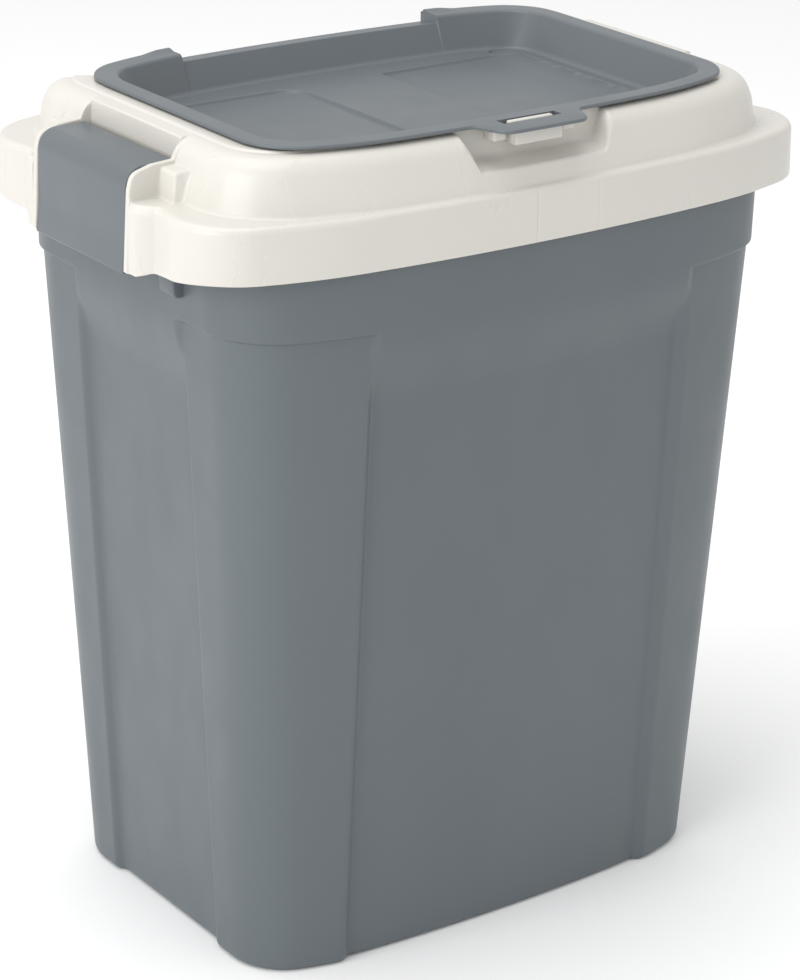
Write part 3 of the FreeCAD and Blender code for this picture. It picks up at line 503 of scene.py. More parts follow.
finger_notch = {
    "dome_low": moved(lid_rows["dome_low"], front=111.9, height=379.6),
    "dome_high": moved(lid_rows["dome_high"], front=111.4, height=381.6),
    "shoulder": moved(lid_rows["shoulder"], front=110.8, height=383.6, rounding=2.2),
    "deck_step": moved(lid_rows["deck_step"], front=98.3, height=386.4, rounding=3.2),
    "deck": moved(lid_rows["deck"], front=97.0, rounding=0.7),
    "neck_top": moved(lid_rows["neck_top"], height=383.4, rounding=0.8),
    "inner_shoulder": moved(lid_rows["inner_shoulder"], front=107.4, height=381.0, rounding=1.5)}
hinge_gap = {
    "dome_high": moved(lid_rows["dome_high"], height=386.2),
    "shoulder": moved(lid_rows["shoulder"], back_reach=109.2, height=388.0, rounding=2.0),
    "deck_step": moved(lid_rows["deck_step"], back_reach=98, height=388.0, rounding=0),
    "deck": moved(lid_rows["deck"], back_reach=84, height=388.0, rounding=0),
    "lip": moved(lid_rows["lip"], height=388.0, rounding=1.0),
    "neck_top": moved(lid_rows["neck_top"], height=385.2, rounding=0.8),
    "inner_shoulder": moved(lid_rows["inner_shoulder"], back_reach=106.4, height=385.2, rounding=1.5)}
print("lid section has", len(lid_rows), "corners")

# %% How strongly each place applies, station by station
LATCH_BAY_HALF = 38.2
CHEEK_HALF = 41.2
BOSS_HALF = 54.0
FLANGE_HALF = 53.8
NOTCH_HALF = 41.0
even_x = np.arange(-95, 95.1, 5.0)
notch_x = np.concatenate([np.arange(-NOTCH_HALF - 1, -NOTCH_HALF + 9, 0.6), np.arange(-24, 24.1, 4),
                          np.arange(NOTCH_HALF - 8.4, NOTCH_HALF + 1.5, 0.6)])
SEAM_X = (-9.0, 26.0)
lid_front = around(np.concatenate([even_x, notch_x]), SEAM_X, (0.15, 0.3, 0.5))
side_marks = [side * half for side in (-1, 1) for half in (LATCH_BAY_HALF, CHEEK_HALF)]
bevel_y = [side * y for side in (-1, 1) for y in np.arange(44.5, 54.5, 0.7)]
lid_side = around(np.concatenate([np.arange(-KEY_Y, KEY_Y + 0.1, 4.0), bevel_y]), side_marks,
                  (0.08, 0.16, 0.24, 0.34, 0.6, 1.0))
stations = loop_stations(lid_front, lid_side, even_x, lid_side, 44)
side_y = np.abs(Outline(*lid_rows["skirt_low"][:4]).walk(stations)[0][:, 1])
lip_place = Outline(*lid_rows["lip"][:4]).walk(stations)[0]
on_side = (np.mod(stations, 4) > 2) & (np.mod(stations, 4) < 3)
side_y = np.where(on_side, side_y, 200.0)
front_x = np.where(stations < 1, (stations * 2 - 1) * KEY_X, 200.0)
inside_bay = 1 - smooth(side_y, LATCH_BAY_HALF - 0.2, LATCH_BAY_HALF + 0.25)
inside_cheek = 1 - smooth(side_y, CHEEK_HALF - 0.2, CHEEK_HALF + 0.25)
in_notch = 1 - smooth(np.abs(front_x), NOTCH_HALF - 7.0, NOTCH_HALF + 0.5)
in_gap = np.where(lip_place[:, 1] > 0, 1 - smooth(np.abs(lip_place[:, 0]), 113.0, 117.0), 0.0)
bevel = np.clip((side_y - 46.0) / (FLANGE_HALF - 46.0), 0, 1)
flange_share = np.where(side_y < 90, 1 - bevel ** 1.25, 0)
places = [(inside_bay, latch_bay), (inside_cheek - inside_bay, cheek),
          ((1 - inside_cheek) * flange_share, flange),
          ((1 - inside_cheek) * (1 - smooth(side_y, BOSS_HALF - 0.9, BOSS_HALF + 0.9)), boss),
          (in_notch, finger_notch), (in_gap, hinge_gap)]
corner_points, corner_radii = section_points(lid_rows, places, stations, len(lid_rows))
low_outline = Outline(*lid_rows["skirt_low"][:4]).walk(stations)[0]
SKIRT_DROP = 4.2        # the skirt's foot is lower towards the latches
SKIRT_DRAWN_IN = 2.6    # and its face stands back beside them
turned = smooth(np.abs(low_outline[:, 0]), 120, 168) * (1 - smooth(np.abs(low_outline[:, 1]), 48, 100))
plain = 1 - inside_bay
corner_points[:, 0, 2] -= SKIRT_DROP * turned * plain * (1 - flange_share) * (1 - inside_cheek)
corner_points[:, len(lid_rows) - 1, 2] -= SKIRT_DROP * turned * plain
at_side = np.abs(low_outline[:, 0]) > 140
drawn_in = SKIRT_DRAWN_IN * (1 - smooth(np.abs(low_outline[:, 1]), 56, 74)) * at_side
for row_number in range(4):
    corner_points[:, row_number, 0] -= np.sign(low_outline[:, 0]) * drawn_in * (1 - flange_share) * plain * (
        1 - inside_cheek)
print(len(stations), "stations round the lid")

# %% Skin the lid
for seam_x, depth in zip(SEAM_X, (0.30, 0.16)):
    seam = depth * np.clip(1 - np.abs(front_x - seam_x) / 0.35, 0, 1)
    corner_points[:, 0:4, 1] += seam[:, None]
fillet_steps = {"skirt_top": 9, "shoulder": 16, "foot": 10, "inner_shoulder": 8, "deck_step": 6, "deck": 5,
                "lip": 6, "dome_low": 5, "dome_high": 5, "skirt_mid": 5, "skirt_high": 4}
steps = [fillet_steps.get(name, 4) for name in lid_rows]
lid_grid = round_corners(corner_points, corner_radii, steps, closed=True)
lid_shell = make_piece("lid_shell", lid_grid.reshape(-1, 3), skin(lid_grid, closed=True), lid_plastic,
                       "lid", "lid_cream")

# %% [markdown]
# ## Small blocks with round edges
# Catches, lugs and knuckles are short pieces of one section. `bar` draws a flat outline with round
# corners, and pulls it along x or y. It eases the outline in at both ends, so the end edges are rounded
# too.

# %% Bars of one section
def flat_round(corners, radii, steps=6):
    """A closed 2-D outline with rounded corners."""
    points = np.zeros((1, len(corners), 3))
    points[0, :, :2] = corners
    radius = np.zeros((1, len(corners)))
    radius[0] = radii
    rounded = round_corners(points, radius, [steps] * len(corners), closed=True)[0, :, :2]
    keep = np.linalg.norm(rounded - np.roll(rounded, 1, axis=0), axis=1) > 1e-3
    return rounded[keep]


def bar(outline, start, end, edge, axis):
    """Points and faces of an outline in (across, height), pulled along x or y with round ends."""
    before, after = np.roll(outline, 1, axis=0), np.roll(outline, -1, axis=0)
    way = unit(after - before)
    normal = np.stack([way[:, 1], -way[:, 0]], 1)
    area = np.sum(outline[:, 0] * after[:, 1] - after[:, 0] * outline[:, 1])
    normal = normal if area > 0 else -normal
    turns = np.linspace(0, math.pi / 2, 5)
    ends = [(start + edge * (1 - math.sin(t)), edge * (1 - math.cos(t))) for t in turns[::-1]]
    ends += [(end - edge * (1 - math.sin(t)), edge * (1 - math.cos(t))) for t in turns]
    rings = []
    for place, inset in sorted(ends):
        flat = outline - normal * inset
        fixed = np.full(len(flat), place)
        columns = (fixed, flat[:, 0], flat[:, 1]) if axis == "x" else (flat[:, 0], fixed, flat[:, 1])
        rings.append(np.stack(columns, 1))
    grid = np.array(rings)
    count = len(outline)
    index = np.arange(grid.shape[0] * count).reshape(grid.shape[0], count)
    ahead = np.roll(index, -1, axis=1)
    faces = np.stack([index[:-1], index[1:], ahead[1:], ahead[:-1]], -1).reshape(-1, 4).tolist()
    faces += [index[0].tolist(), index[-1][::-1].tolist()]
    return grid.reshape(-1, 3), faces


def joined(parts):
    """One list of points and faces from several."""
    points, faces, total = [], [], 0
    for part_points, part_faces in parts:
        points.append(part_points)
        faces += [[corner + total for corner in face] for face in part_faces]
        total += len(part_points)
    return np.concatenate(points), faces


def box_outline(low, high, radius):
    return flat_round([(low[0], low[1]), (high[0], low[1]), (high[0], high[1]), (low[0], high[1])], radius)


def disc_outline(centre, radius, count=40):
    turn = np.linspace(0, 2 * math.pi, count, endpoint=False)
    return np.stack([centre[0] + radius * np.cos(turn), centre[1] + radius * np.sin(turn)], 1)


# %% The catch, its lugs and the hinge ears on the lid
catch = bar(box_outline((-108, 392.5), (-96.2, 399.7), 0.9), -15, 11, 0.8, "x")
nose_outline = flat_round([(-105.6, 398), (-100.8, 398), (-100.8, 402.6), (-103.6, 402.6)], 0.7)
nose = bar(nose_outline, -15.5, 8.5, 0.6, "x")
left_lug = bar(box_outline((-104.5, 394.5), (-96.2, 399.7), 1.2), -24.5, -17.5, 1.0, "x")
right_lug = bar(box_outline((-104.5, 394.5), (-96.2, 399.7), 1.2), 13.5, 20.5, 1.0, "x")
make_piece("lid_catch", *joined([catch, nose, left_lug, right_lug]), lid_plastic, "lid", "lid_cream", 50)
HINGE_Y, HINGE_Z = 84.0, 398.0
ears = []
for side in (-1, 1):
    low_x, high_x = sorted((side * 82.0, side * 87.0))
    post = flat_round([(HINGE_Y - 4.0, 387.2), (HINGE_Y + 4.0, 387.2), (HINGE_Y + 2.6, HINGE_Z + 2.6),
                       (HINGE_Y - 2.6, HINGE_Z + 2.6)], [0.2, 0.2, 2.5, 2.5])
    ears.append(bar(post, low_x, high_x, 0.5, "x"))
make_piece("lid_hinge_ears", *joined(ears), lid_plastic, "lid", "lid_cream", 50)
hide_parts("lid")

# %% [markdown]
# ## The hatch
# The hatch is a tray hung inside a flat rim. Its section starts on the tray's floor, climbs the sloped
# wall, turns over the thin rim and comes back underneath. In front the rim reaches out into a tab with a
# slot. Behind, it drops to a low strip, and its ends rise over the two hinge knuckles.

# %% The hatch's rows
def rim_row(inset, height, rounding, back_inset=None):
    back_inset = inset if back_inset is None else back_inset
    return RIM_HALF_LENGTH - inset, 101.4 - inset, 87.6 - back_inset, 33 - inset, height, rounding


FLOOR_TOP = 385.2
FLOOR_UNDER = 383.2
hatch_rows = {
    "floor_edge": rim_row(23.5, FLOOR_TOP, 0, 25.5), "foot": rim_row(17.5, FLOOR_TOP, 3.5, 19.5),
    "rim_inner": rim_row(9.6, RIM_TOP, 2.4, 11.6), "rim_middle": rim_row(4.5, RIM_TOP, 0, 4.9),
    "slot_back": rim_row(1.7, RIM_TOP, 0), "slot_front": rim_row(1.2, RIM_TOP, 0),
    "edge_top": rim_row(0, RIM_TOP, 0.9), "edge_low": rim_row(0, RIM_UNDERSIDE, 0.6),
    "under_front": rim_row(1.2, RIM_UNDERSIDE, 0), "under_back": rim_row(1.7, RIM_UNDERSIDE, 0),
    "tray_top": rim_row(7.4, RIM_UNDERSIDE, 1.0, 9.4), "tray_foot": rim_row(15.4, FLOOR_UNDER, 3.0, 17.4),
    "under_edge": rim_row(23.5, FLOOR_UNDER, 0, 25.5)}
STRIP_TOP = 398.2
STRIP_THICK = 2.2
low_strip = {
    "rim_inner": rim_row(9.6, STRIP_TOP + 1.2, 0.9, 12.0),
    "rim_middle": rim_row(8.9, STRIP_TOP + 0.5, 0.6, 9.9),
    "slot_back": rim_row(8.0, STRIP_TOP, 0.5, 8.6), "slot_front": rim_row(1.2, STRIP_TOP, 0, 3.0),
    "edge_top": rim_row(0, STRIP_TOP, 0.7, 1.6), "edge_low": rim_row(0, STRIP_TOP - STRIP_THICK, 0.6, 1.6),
    "under_front": rim_row(1.2, STRIP_TOP - STRIP_THICK, 0, 3.0),
    "under_back": rim_row(8.0, STRIP_TOP - STRIP_THICK, 0, 7.0),
    "tray_top": rim_row(7.4, STRIP_TOP - STRIP_THICK, 0.8, 9.6)}
STRIP_HALF = 73.7
SLOT_HALF = 16.0
BUMP_RISE = 1.0
TAB_SHIFT = -4.0        # the tab and its slot sit a little left of the middle
strip_marks = (-STRIP_HALF, STRIP_HALF)
hatch_back = around(np.concatenate([even_x, np.arange(-94, -70, 1.5), np.arange(71, 95, 1.5)]), strip_marks)
hatch_front = around(np.concatenate([even_x, np.arange(-38, -16, 0.5), np.arange(9, 32.5, 0.5)]),
                     (TAB_SHIFT - SLOT_HALF, TAB_SHIFT + SLOT_HALF), (0.3,))
even_y = np.arange(-KEY_Y, KEY_Y + 0.1, 8.0)
stations = loop_stations(hatch_front, even_y, hatch_back, even_y, 40)
back_x = np.where((stations >= 4) & (stations <= 5), (4.5 - stations) * 2 * KEY_X, 200.0)
front_x = np.where(stations < 1, (stations * 2 - 1) * KEY_X - TAB_SHIFT, 200.0)
on_strip = 1 - smooth(np.abs(back_x), STRIP_HALF - 0.3, STRIP_HALF + 0.3)
hatch_points, hatch_radii = section_points(hatch_rows, [(on_strip, low_strip)], stations, len(hatch_rows))
print(len(stations), "stations round the hatch")

# %% Draw out the tab and raise the bumps
tab_edge = flat_round([(60, 0), (28.5, 0), (22.5, TAB_REACH - 101.4), (-22.5, TAB_REACH - 101.4), (-28.5, 0),
                       (-60, 0), (-60, -9), (60, -9)], [0, 5, 7.5, 7.5, 5, 0, 0, 0], 12)
right_half = tab_edge[(tab_edge[:, 0] >= 0) & (tab_edge[:, 1] >= -0.01)]
right_half = right_half[np.argsort(right_half[:, 0])]
reach = np.interp(np.abs(front_x), right_half[:, 0], right_half[:, 1], left=TAB_REACH - 101.4, right=0)
names = list(hatch_rows)
SLOT_SHARE = 5.4 / 16.1     # how far out along the tab the slot's front edge is
for row_name, share in (("slot_front", SLOT_SHARE), ("edge_top", 1), ("edge_low", 1),
                        ("under_front", SLOT_SHARE)):
    hatch_points[:, names.index(row_name), 1] -= reach * share
bump = smooth(np.abs(back_x), STRIP_HALF - 0.3, STRIP_HALF + 0.5) * (1 - smooth(np.abs(back_x), 80.5, 92))
for row_name in ("slot_back", "slot_front", "edge_top"):
    hatch_points[:, names.index(row_name), 2] += bump * BUMP_RISE
hatch_steps = [{"foot": 8, "rim_inner": 8, "edge_top": 5, "tray_foot": 6}.get(name, 1 if "slot" in name or
               "under_" in name else 4) for name in names]
hatch_grid = round_corners(hatch_points, hatch_radii, hatch_steps, closed=False)
first_sample = np.cumsum([0, 1] + hatch_steps[1:-1])
sample_of = {name: int(first_sample[i]) for i, name in enumerate(names)}
print("hatch section samples", hatch_grid.shape[1], sample_of)

# %% Skin the hatch with the slot left open
count = hatch_grid.shape[1]
stripe = np.arange(len(stations) * count).reshape(len(stations), count)
next_open = np.abs(np.roll(front_x, -1)) < SLOT_HALF + 0.01
open_columns = (np.abs(front_x) < SLOT_HALF + 0.01) & next_open
top_back, top_front = sample_of["slot_back"], sample_of["slot_front"]
low_front, low_back = sample_of["under_front"], sample_of["under_back"]
hatch_faces = []
for i in range(len(stations)):
    j = (i + 1) % len(stations)
    for k in range(count - 1):
        if open_columns[i] and (top_back <= k < top_front or low_front <= k < low_back):
            continue
        hatch_faces.append([stripe[i, k], stripe[j, k], stripe[j, k + 1], stripe[i, k + 1]])
    if open_columns[i]:
        for top, low in ((top_back, low_back), (top_front, low_front)):
            hatch_faces.append([stripe[i, top], stripe[j, top], stripe[j, low], stripe[i, low]])
ends = np.flatnonzero(open_columns)
for column in (ends[0], ends[-1] + 1):
    hatch_faces.append([stripe[column, top_back], stripe[column, top_front], stripe[column, low_front],
                        stripe[column, low_back]])
print(len(hatch_faces), "faces before the floor")

# %% [markdown]
# The tray's floor has two shallow sunk fields either side of a plain middle band. Their borders fade
# towards the front. A triangulation that keeps the floor's edge and takes a grid of points inside it
# makes one clean sheet, and the grid is close only where a border runs.

# %% The tray's floor with its two sunk fields
BAND_HALF = 25.0
FIELD_BACK = 50.0
FIELD_DEPTH = 1.4


def floor_height(x, y):
    """Height of the floor: two sunk fields with soft borders."""
    fade = 1 - 0.75 * smooth(-y, 20, 80)
    left_round = np.hypot(np.maximum(x + BAND_HALF + 14, 0), np.maximum(y - FIELD_BACK + 14, 0)) - 14
    left = 1 - smooth(left_round, -0.7, 0.7)
    left = np.where(x < 0, left, 0)
    edge = np.maximum(BAND_HALF - x, y - FIELD_BACK)
    right = np.where(x > 0, 1 - smooth(edge, -0.6, 0.6), 0)
    pit = np.exp(-((x - BAND_HALF - 2.5) / 2.2) ** 2 - ((y - FIELD_BACK + 2.0) / 1.4) ** 2)
    side_fade = 1 - smooth(np.abs(x), 88, 104)
    return -FIELD_DEPTH * fade * (left + right) * (0.35 + 0.65 * side_fade) - 0.4 * pit


def sheet(edge_points, height, dense):
    """Triangles inside a loop, with extra points where the height changes quickly."""
    loop = np.asarray(edge_points)[:, :2]
    xs = np.arange(-108, 108.1, 5)
    ys = np.arange(-84, 76.1, 5)
    if dense:
        fine = np.arange(-3.6, 3.7, 0.45)
        curve = np.arange(-16, 0, 1.1)
        close_x = [xs, fine - BAND_HALF, fine + BAND_HALF, curve - BAND_HALF]
        xs = np.unique(np.round(np.concatenate(close_x), 3))
        ys = np.unique(np.round(np.concatenate([ys, fine + FIELD_BACK, curve + FIELD_BACK]), 3))
    grid = np.stack(np.meshgrid(xs, ys), -1).reshape(-1, 2)
    after = np.roll(loop, -1, axis=0)
    rises = (loop[:, 1] > grid[:, None, 1]) != (after[:, 1] > grid[:, None, 1])
    run, rise = (after - loop).T
    slope = run / np.where(np.abs(rise) < 1e-9, 1e-9, rise)
    crossing = loop[:, 0] + (grid[:, None, 1] - loop[:, 1]) * slope
    odd = np.sum(rises & (grid[:, None, 0] < crossing), axis=1) % 2 == 1
    clear = np.linalg.norm(grid[:, None] - loop, axis=2).min(1) > 1.2
    inside = odd & clear
    print(int(inside.sum()), "points inside the floor's edge")
    points = np.concatenate([loop, grid[inside]])
    edges = [(i, (i + 1) % len(loop)) for i in range(len(loop))]
    result = delaunay_2d_cdt([Vector(p) for p in points], edges, [], 1, 1e-5)
    flat = np.array([tuple(p) for p in result[0]])
    flat_height = height(flat[:, 0], flat[:, 1])
    return np.column_stack([flat, flat_height]), [list(face) for face in result[2]]


floor_top = sheet(hatch_grid[:, 0], lambda x, y: FLOOR_TOP + floor_height(x, y), True)
floor_under = sheet(hatch_grid[:, -1], lambda x, y: np.full(len(x), FLOOR_UNDER), False)
on_edge = np.linalg.norm(floor_top[0][:, None, :2] - hatch_grid[None, :, 0, :2], axis=2).min(1) < 0.01
floor_top[0][on_edge, 2] = FLOOR_TOP
hatch_parts = joined([(hatch_grid.reshape(-1, 3), hatch_faces), floor_top, floor_under])
hatch_tray = make_piece("hatch_tray", *hatch_parts, hatch_plastic, "hatch", "hatch_grey", 40)
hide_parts("hatch")

# %% The hatch's knuckles
knuckles = []
for side in (-1, 1):
    low_x, high_x = sorted((side * 74.0, side * 81.6))
    arm = flat_round([(HINGE_Y - 2.8, HINGE_Z - 2.8), (HINGE_Y + 2.8, HINGE_Z - 2.8), (HINGE_Y + 2.8, 402.2),
                      (HINGE_Y - 2.8, 402.2)], [2.7, 2.7, 0.3, 0.3])
    knuckles.append(bar(arm, low_x, high_x, 0.5, "x"))
make_piece("hatch_knuckles", *joined(knuckles), hatch_plastic, "hatch", "hatch_grey", 50)

# %% [markdown]
# ## The bucket
# The wall is drawn out in proportion from the small foot to the wide collar. On each side a wide panel is
# sunk a few millimetres, which leaves the corners standing out as columns. Each panel fades out under the
# collar.

# %% The bucket's wall, row by row
COLLAR_LEVEL = 320.0
RIM_LEVEL = 366.0
FOOT_ROUND = 4.0
LIP_ROUND = 1.3
FLOOR_THICK = 3.0
INSIDE_ROUND = 5.0
LONG_PANEL_DEPTH = 4.0
SHORT_PANEL_DEPTH = 3.0
PANEL_FADE = 284.0      # above this level a panel comes out to meet the collar
COLLAR_STEP = 2.0
COLLAR_DRAFT = 0.8
base_line = Outline(133.3, 97.8, 97.8, 34)
hull_line = Outline(149.3, 112.0, 112.0, 40)
border_x = [side * x for side in (-1, 1) for x in np.arange(84, 94.6, 0.8)]
border_y = [side * y for side in (-1, 1) for y in np.arange(38.5, 50.1, 0.8)]
bucket_long = np.unique(np.concatenate([np.arange(-95, 95.1, 8), border_x]))
bucket_short = np.unique(np.concatenate([np.arange(-KEY_Y, KEY_Y + 0.1, 8), border_y]))
stations = loop_stations(bucket_long, bucket_short, bucket_long, bucket_short, 36)
low_place, low_normal = base_line.walk(stations)
high_place, high_normal = hull_line.walk(stations)
on_long = np.mod(stations, 4) <= 1
on_short = (np.mod(stations, 4) >= 2) & (np.mod(stations, 4) <= 3)
long_panel = np.where(on_long, 1 - smooth(np.abs(high_place[:, 0]), 86.5, 92.5), 0)
short_panel = np.where(on_short, 1 - smooth(np.abs(high_place[:, 1]), 42, 47.5), 0)


def wall_row(height, inset):
    """One ring of the bucket at a height, drawn in by the inset."""
    share = min(height / COLLAR_LEVEL, 1)
    place = low_place + (high_place - low_place) * share
    normal = unit(low_normal + (high_normal - low_normal) * share)
    depth = LONG_PANEL_DEPTH * long_panel + SHORT_PANEL_DEPTH * short_panel
    sunk = depth * (1 - smooth(height, PANEL_FADE, 315))
    panel = np.maximum(long_panel, short_panel)
    step = (1 - panel) * smooth(height, 318.2, 320.2) + panel * smooth(height, PANEL_FADE, COLLAR_LEVEL)
    collar = COLLAR_STEP * step + COLLAR_DRAFT * max(0, height - COLLAR_LEVEL) / (RIM_LEVEL - COLLAR_LEVEL)
    flat = place + normal * (collar - sunk - inset)[:, None]
    return np.column_stack([flat, np.full(len(stations), float(height))])


wall_heights = np.unique(np.concatenate([np.arange(8, 284, 12), np.arange(284, 317, 2.5),
                                         np.arange(317.6, 322.1, 0.4), np.arange(330, 362.1, 8)]))
turns = np.linspace(0, math.pi / 2, 7)
rows = [wall_row(1.6, 13), wall_row(1.6, 12), wall_row(0.8, 11.2), wall_row(0, 10.4), wall_row(0, 5)]
rows += [wall_row(FOOT_ROUND * (1 - math.cos(t)), FOOT_ROUND * (1 - math.sin(t))) for t in turns]
rows += [wall_row(height, 0) for height in wall_heights] + [wall_row(364, 0)]
rows += [wall_row(RIM_LEVEL - LIP_ROUND + LIP_ROUND * math.sin(t), LIP_ROUND - LIP_ROUND * math.cos(t))
         for t in np.linspace(0, math.pi, 9)]
rows += [wall_row(height, WALL) for height in wall_heights[::-1] if height > 9]
rows += [wall_row(FLOOR_THICK + INSIDE_ROUND * (1 - math.sin(t)), WALL + INSIDE_ROUND * (1 - math.cos(t)))
         for t in turns] + [wall_row(FLOOR_THICK, 20)]
bucket_grid = np.stack(rows, axis=1)
bucket_index = np.arange(len(stations) * len(rows)).reshape(len(stations), len(rows))
bucket_faces = skin(bucket_grid, closed=False)
bucket_faces += [bucket_index[:, 0].tolist(), bucket_index[::-1, -1].tolist()]
bucket_wall = make_piece("bucket_wall", bucket_grid.reshape(-1, 3), bucket_faces, bucket_plastic, "bucket",
                         "bucket_grey", 60)
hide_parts("bucket")

# %% The keeper ribs and the brackets that carry them
keepers = []
for side in (-1, 1):
    keeper = flat_round([(side * 149, 350.2), (side * 163, 350.2), (side * 163, 353.4), (side * 149, 353.4)],
                        [0.2, 1.2, 1.2, 0.2])
    keepers.append(bar(keeper, -51, 51, 0.8, "y"))
    for end in (-1, 1):
        low_y, high_y = sorted((end * 39.0, end * 51.0))
        bracket = flat_round([(side * 147, 331), (side * 156.5, 331), (side * 158.5, 350.5),
                              (side * 147, 350.5)], [0.2, 3.0, 1.0, 0.2])
        keepers.append(bar(bracket, low_y, high_y, 1.2, "y"))
make_piece("bucket_keepers", *joined(keepers), bucket_plastic, "bucket", "bucket_grey", 50)

# %% [markdown]
# ## The latches
# A latch is a curved flap. It hangs from a barrel under its brow, and a hook near its foot snaps under
# the keeper. Its back carries short upright ribs, which a Geometry Nodes row repeats at one spacing.

# %% A node group that repeats a piece in a row
def node_tree(name, inputs, output):
    """A Geometry Nodes tree with named input sockets and one geometry output."""
    group = bpy.data.node_groups.new(name, "GeometryNodeTree")
    for label, kind in inputs.items():
        group.interface.new_socket(name=label, in_out="INPUT", socket_type="NodeSocket" + kind)
    group.interface.new_socket(name=output, in_out="OUTPUT", socket_type="NodeSocketGeometry")
    return group, group.nodes.new("NodeGroupInput"), group.nodes.new("NodeGroupOutput")


def row_of(name, points, faces, material, count, offset):
    """One plain mesh holding a piece repeated along an offset, built by Geometry Nodes."""
    inputs = {"Piece": "Geometry", "Count": "Int", "Spacing": "Vector", "Plastic": "Material"}
    group, given, made = node_tree(name + "_row", inputs, "Row")
    nodes, links = group.nodes, group.links
    line = nodes.new("GeometryNodeMeshLine")
    line.mode = "OFFSET"
    copies = nodes.new("GeometryNodeInstanceOnPoints")
    real = nodes.new("GeometryNodeRealizeInstances")
    paint = nodes.new("GeometryNodeSetMaterial")
    links.new(given.outputs["Count"], line.inputs["Count"])
    links.new(given.outputs["Spacing"], line.inputs["Offset"])
    links.new(line.outputs["Mesh"], copies.inputs["Points"])
    links.new(given.outputs["Piece"], copies.inputs["Instance"])
    links.new(copies.outputs["Instances"], real.inputs["Geometry"])
    links.new(real.outputs["Geometry"], paint.inputs["Geometry"])
    links.new(given.outputs["Plastic"], paint.inputs["Material"])
    links.new(paint.outputs["Geometry"], made.inputs["Row"])
    values = {"Count": count, "Spacing": [v * MM for v in offset], "Plastic": material}
    return settled(name, points, faces, group, values)


def settled(name, points, faces, group, values, edges=()):
    """The plain mesh that a node group makes from a mesh of points, edges and faces."""
    seed = bpy.data.meshes.new(name + "_seed")
    seed.from_pydata((np.asarray(points) * MM).tolist(), list(edges), faces)
    carrier = bpy.data.objects.new(name + "_seed", seed)
    bpy.context.scene.collection.objects.link(carrier)
    modifier = carrier.modifiers.new("nodes", "NODES")
    modifier.node_group = group
    for item in group.interface.items_tree:
        if item.in_out == "INPUT" and item.name in values:
            modifier[item.identifier] = values[item.name]
    bpy.context.view_layer.update()
    mesh = bpy.data.meshes.new_from_object(carrier.evaluated_get(bpy.context.evaluated_depsgraph_get()))
    mesh.name = name
    bpy.data.objects.remove(carrier)
    return mesh


# %% The two latches
LATCH_HALF = 37.6
latch_side = np.array([(148, 389.6), (172.3, 389.3), (172.5, 356), (174.4, 342.2),
                       (172.0, 341.8), (170.2, 356), (170.0, 386.9), (148, 387.2)])
latch_radii = [0.8, 9, 60, 0.9, 0.9, 40, 7.0, 0.8]
for side, body in ((-1, "left_latch"), (1, "right_latch")):
    turned_side = latch_side * [side, 1]
    flap = bar(flat_round(turned_side, latch_radii, 12), -LATCH_HALF, LATCH_HALF, 0.7, "y")
    barrel = bar(disc_outline((side * 150.5, 386.3), 3.1), -37.4, 37.4, 0.4, "y")
    hook_side = [(side * 163.6, 346), (side * 172.0, 346), (side * 172.0, 349), (side * 163.6, 349)]
    hook = bar(flat_round(hook_side, [0.9, 0.2, 0.2, 0.9]), -33.6, 33.6, 0.6, "y")
    latch = make_piece(body + "_flap", *joined([flap, barrel, hook]), latch_plastic, body, "latch_grey", 40)
    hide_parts(body)
    rib = bar(flat_round([(side * 167.2, 354), (side * 171, 354), (side * 171, 384), (side * 167.2, 380)],
                         [0.8, 0.2, 0.2, 0.8]), -30.6, -29.4, 0.3, "y")
    ribs = row_of(body + "_ribs", rib[0], rib[1], latch_plastic, 5, (0, 15, 0))
    make_object(body + "_ribs", ribs, body)

# %% [markdown]
# ## The two seals
# Each seal is a loop of soft silicone. Geometry Nodes sweeps a flattened circle along the outline.

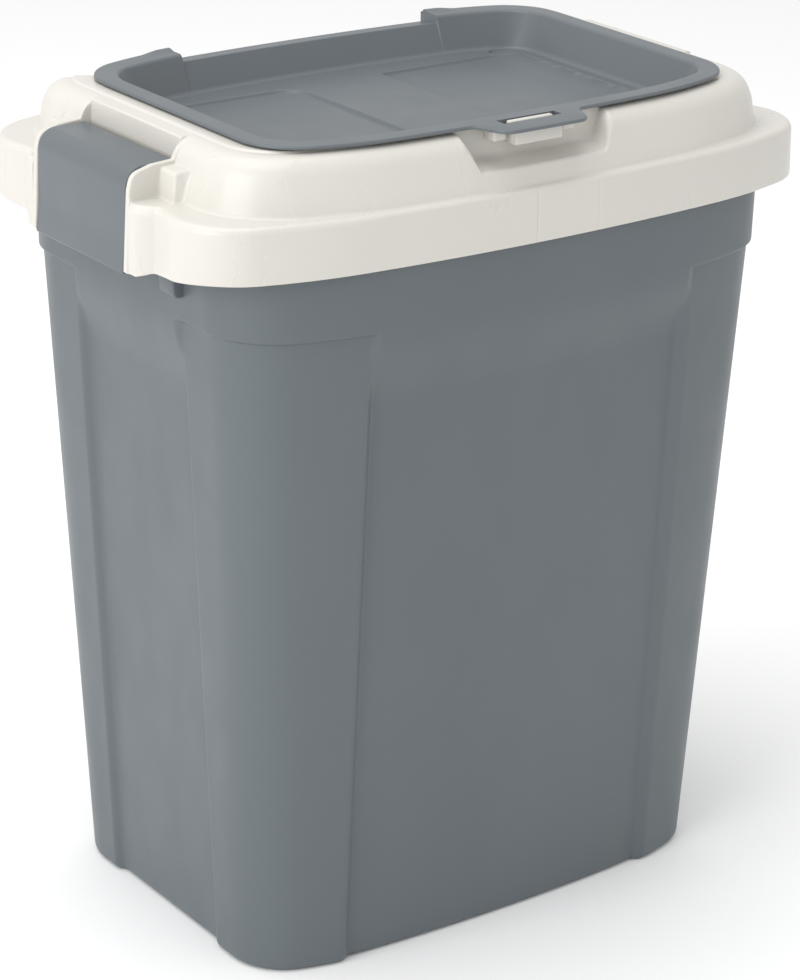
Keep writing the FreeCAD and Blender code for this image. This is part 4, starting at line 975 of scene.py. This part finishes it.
# %% The seals, swept by a node group
def swept_ring(name, outline, level, width, height, material):
    """A closed ring of oval section along an outline."""
    inputs = {"Path": "Geometry", "Width": "Float", "Flatten": "Vector", "Rubber": "Material"}
    group, given, made = node_tree(name + "_sweep", inputs, "Ring")
    nodes, links = group.nodes, group.links
    curve = nodes.new("GeometryNodeMeshToCurve")
    circle = nodes.new("GeometryNodeCurvePrimitiveCircle")
    circle.inputs["Resolution"].default_value = 16
    flatten = nodes.new("GeometryNodeTransform")
    sweep = nodes.new("GeometryNodeCurveToMesh")
    paint = nodes.new("GeometryNodeSetMaterial")
    links.new(given.outputs["Path"], curve.inputs["Mesh"])
    links.new(given.outputs["Width"], circle.inputs["Radius"])
    links.new(circle.outputs["Curve"], flatten.inputs["Geometry"])
    links.new(given.outputs["Flatten"], flatten.inputs["Scale"])
    links.new(curve.outputs["Curve"], sweep.inputs["Curve"])
    links.new(flatten.outputs["Geometry"], sweep.inputs["Profile Curve"])
    links.new(sweep.outputs["Mesh"], paint.inputs["Geometry"])
    links.new(given.outputs["Rubber"], paint.inputs["Material"])
    links.new(paint.outputs["Geometry"], made.inputs["Ring"])
    flat, _ = outline.walk(np.linspace(0, 8, 240, endpoint=False))
    path = np.column_stack([flat, np.full(len(flat), float(level))])
    edges = [(i, (i + 1) % len(path)) for i in range(len(path))]
    values = {"Width": 0.5 * MM, "Flatten": (width, height, 1.0), "Rubber": material}
    return settled(name, path, [], group, values, edges)


lid_seal_mesh = swept_ring("lid_seal", Outline(149.1, 111.8, 111.8, 39.8), 369.35, 3.9, 6.0, silicone)
lid_seal = make_object("lid_seal", lid_seal_mesh, "lid")
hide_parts("lid_gasket")
hatch_seal_mesh = swept_ring("hatch_seal", Outline(118.2, 88.6, 72.8, 20.2), 382.35, 4.8, 1.1, silicone)
hatch_seal = make_object("hatch_seal", hatch_seal_mesh, "hatch")
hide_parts("hatch_gasket")

# %% [markdown]
# ## Pins
# The four hinge pins keep their exact CAD shape and only take the steel.

# %% Steel on the pins
for node_name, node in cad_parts.items():
    if node_name.endswith("_pin"):
        node.data.materials.clear()
        node.data.materials.append(steel)
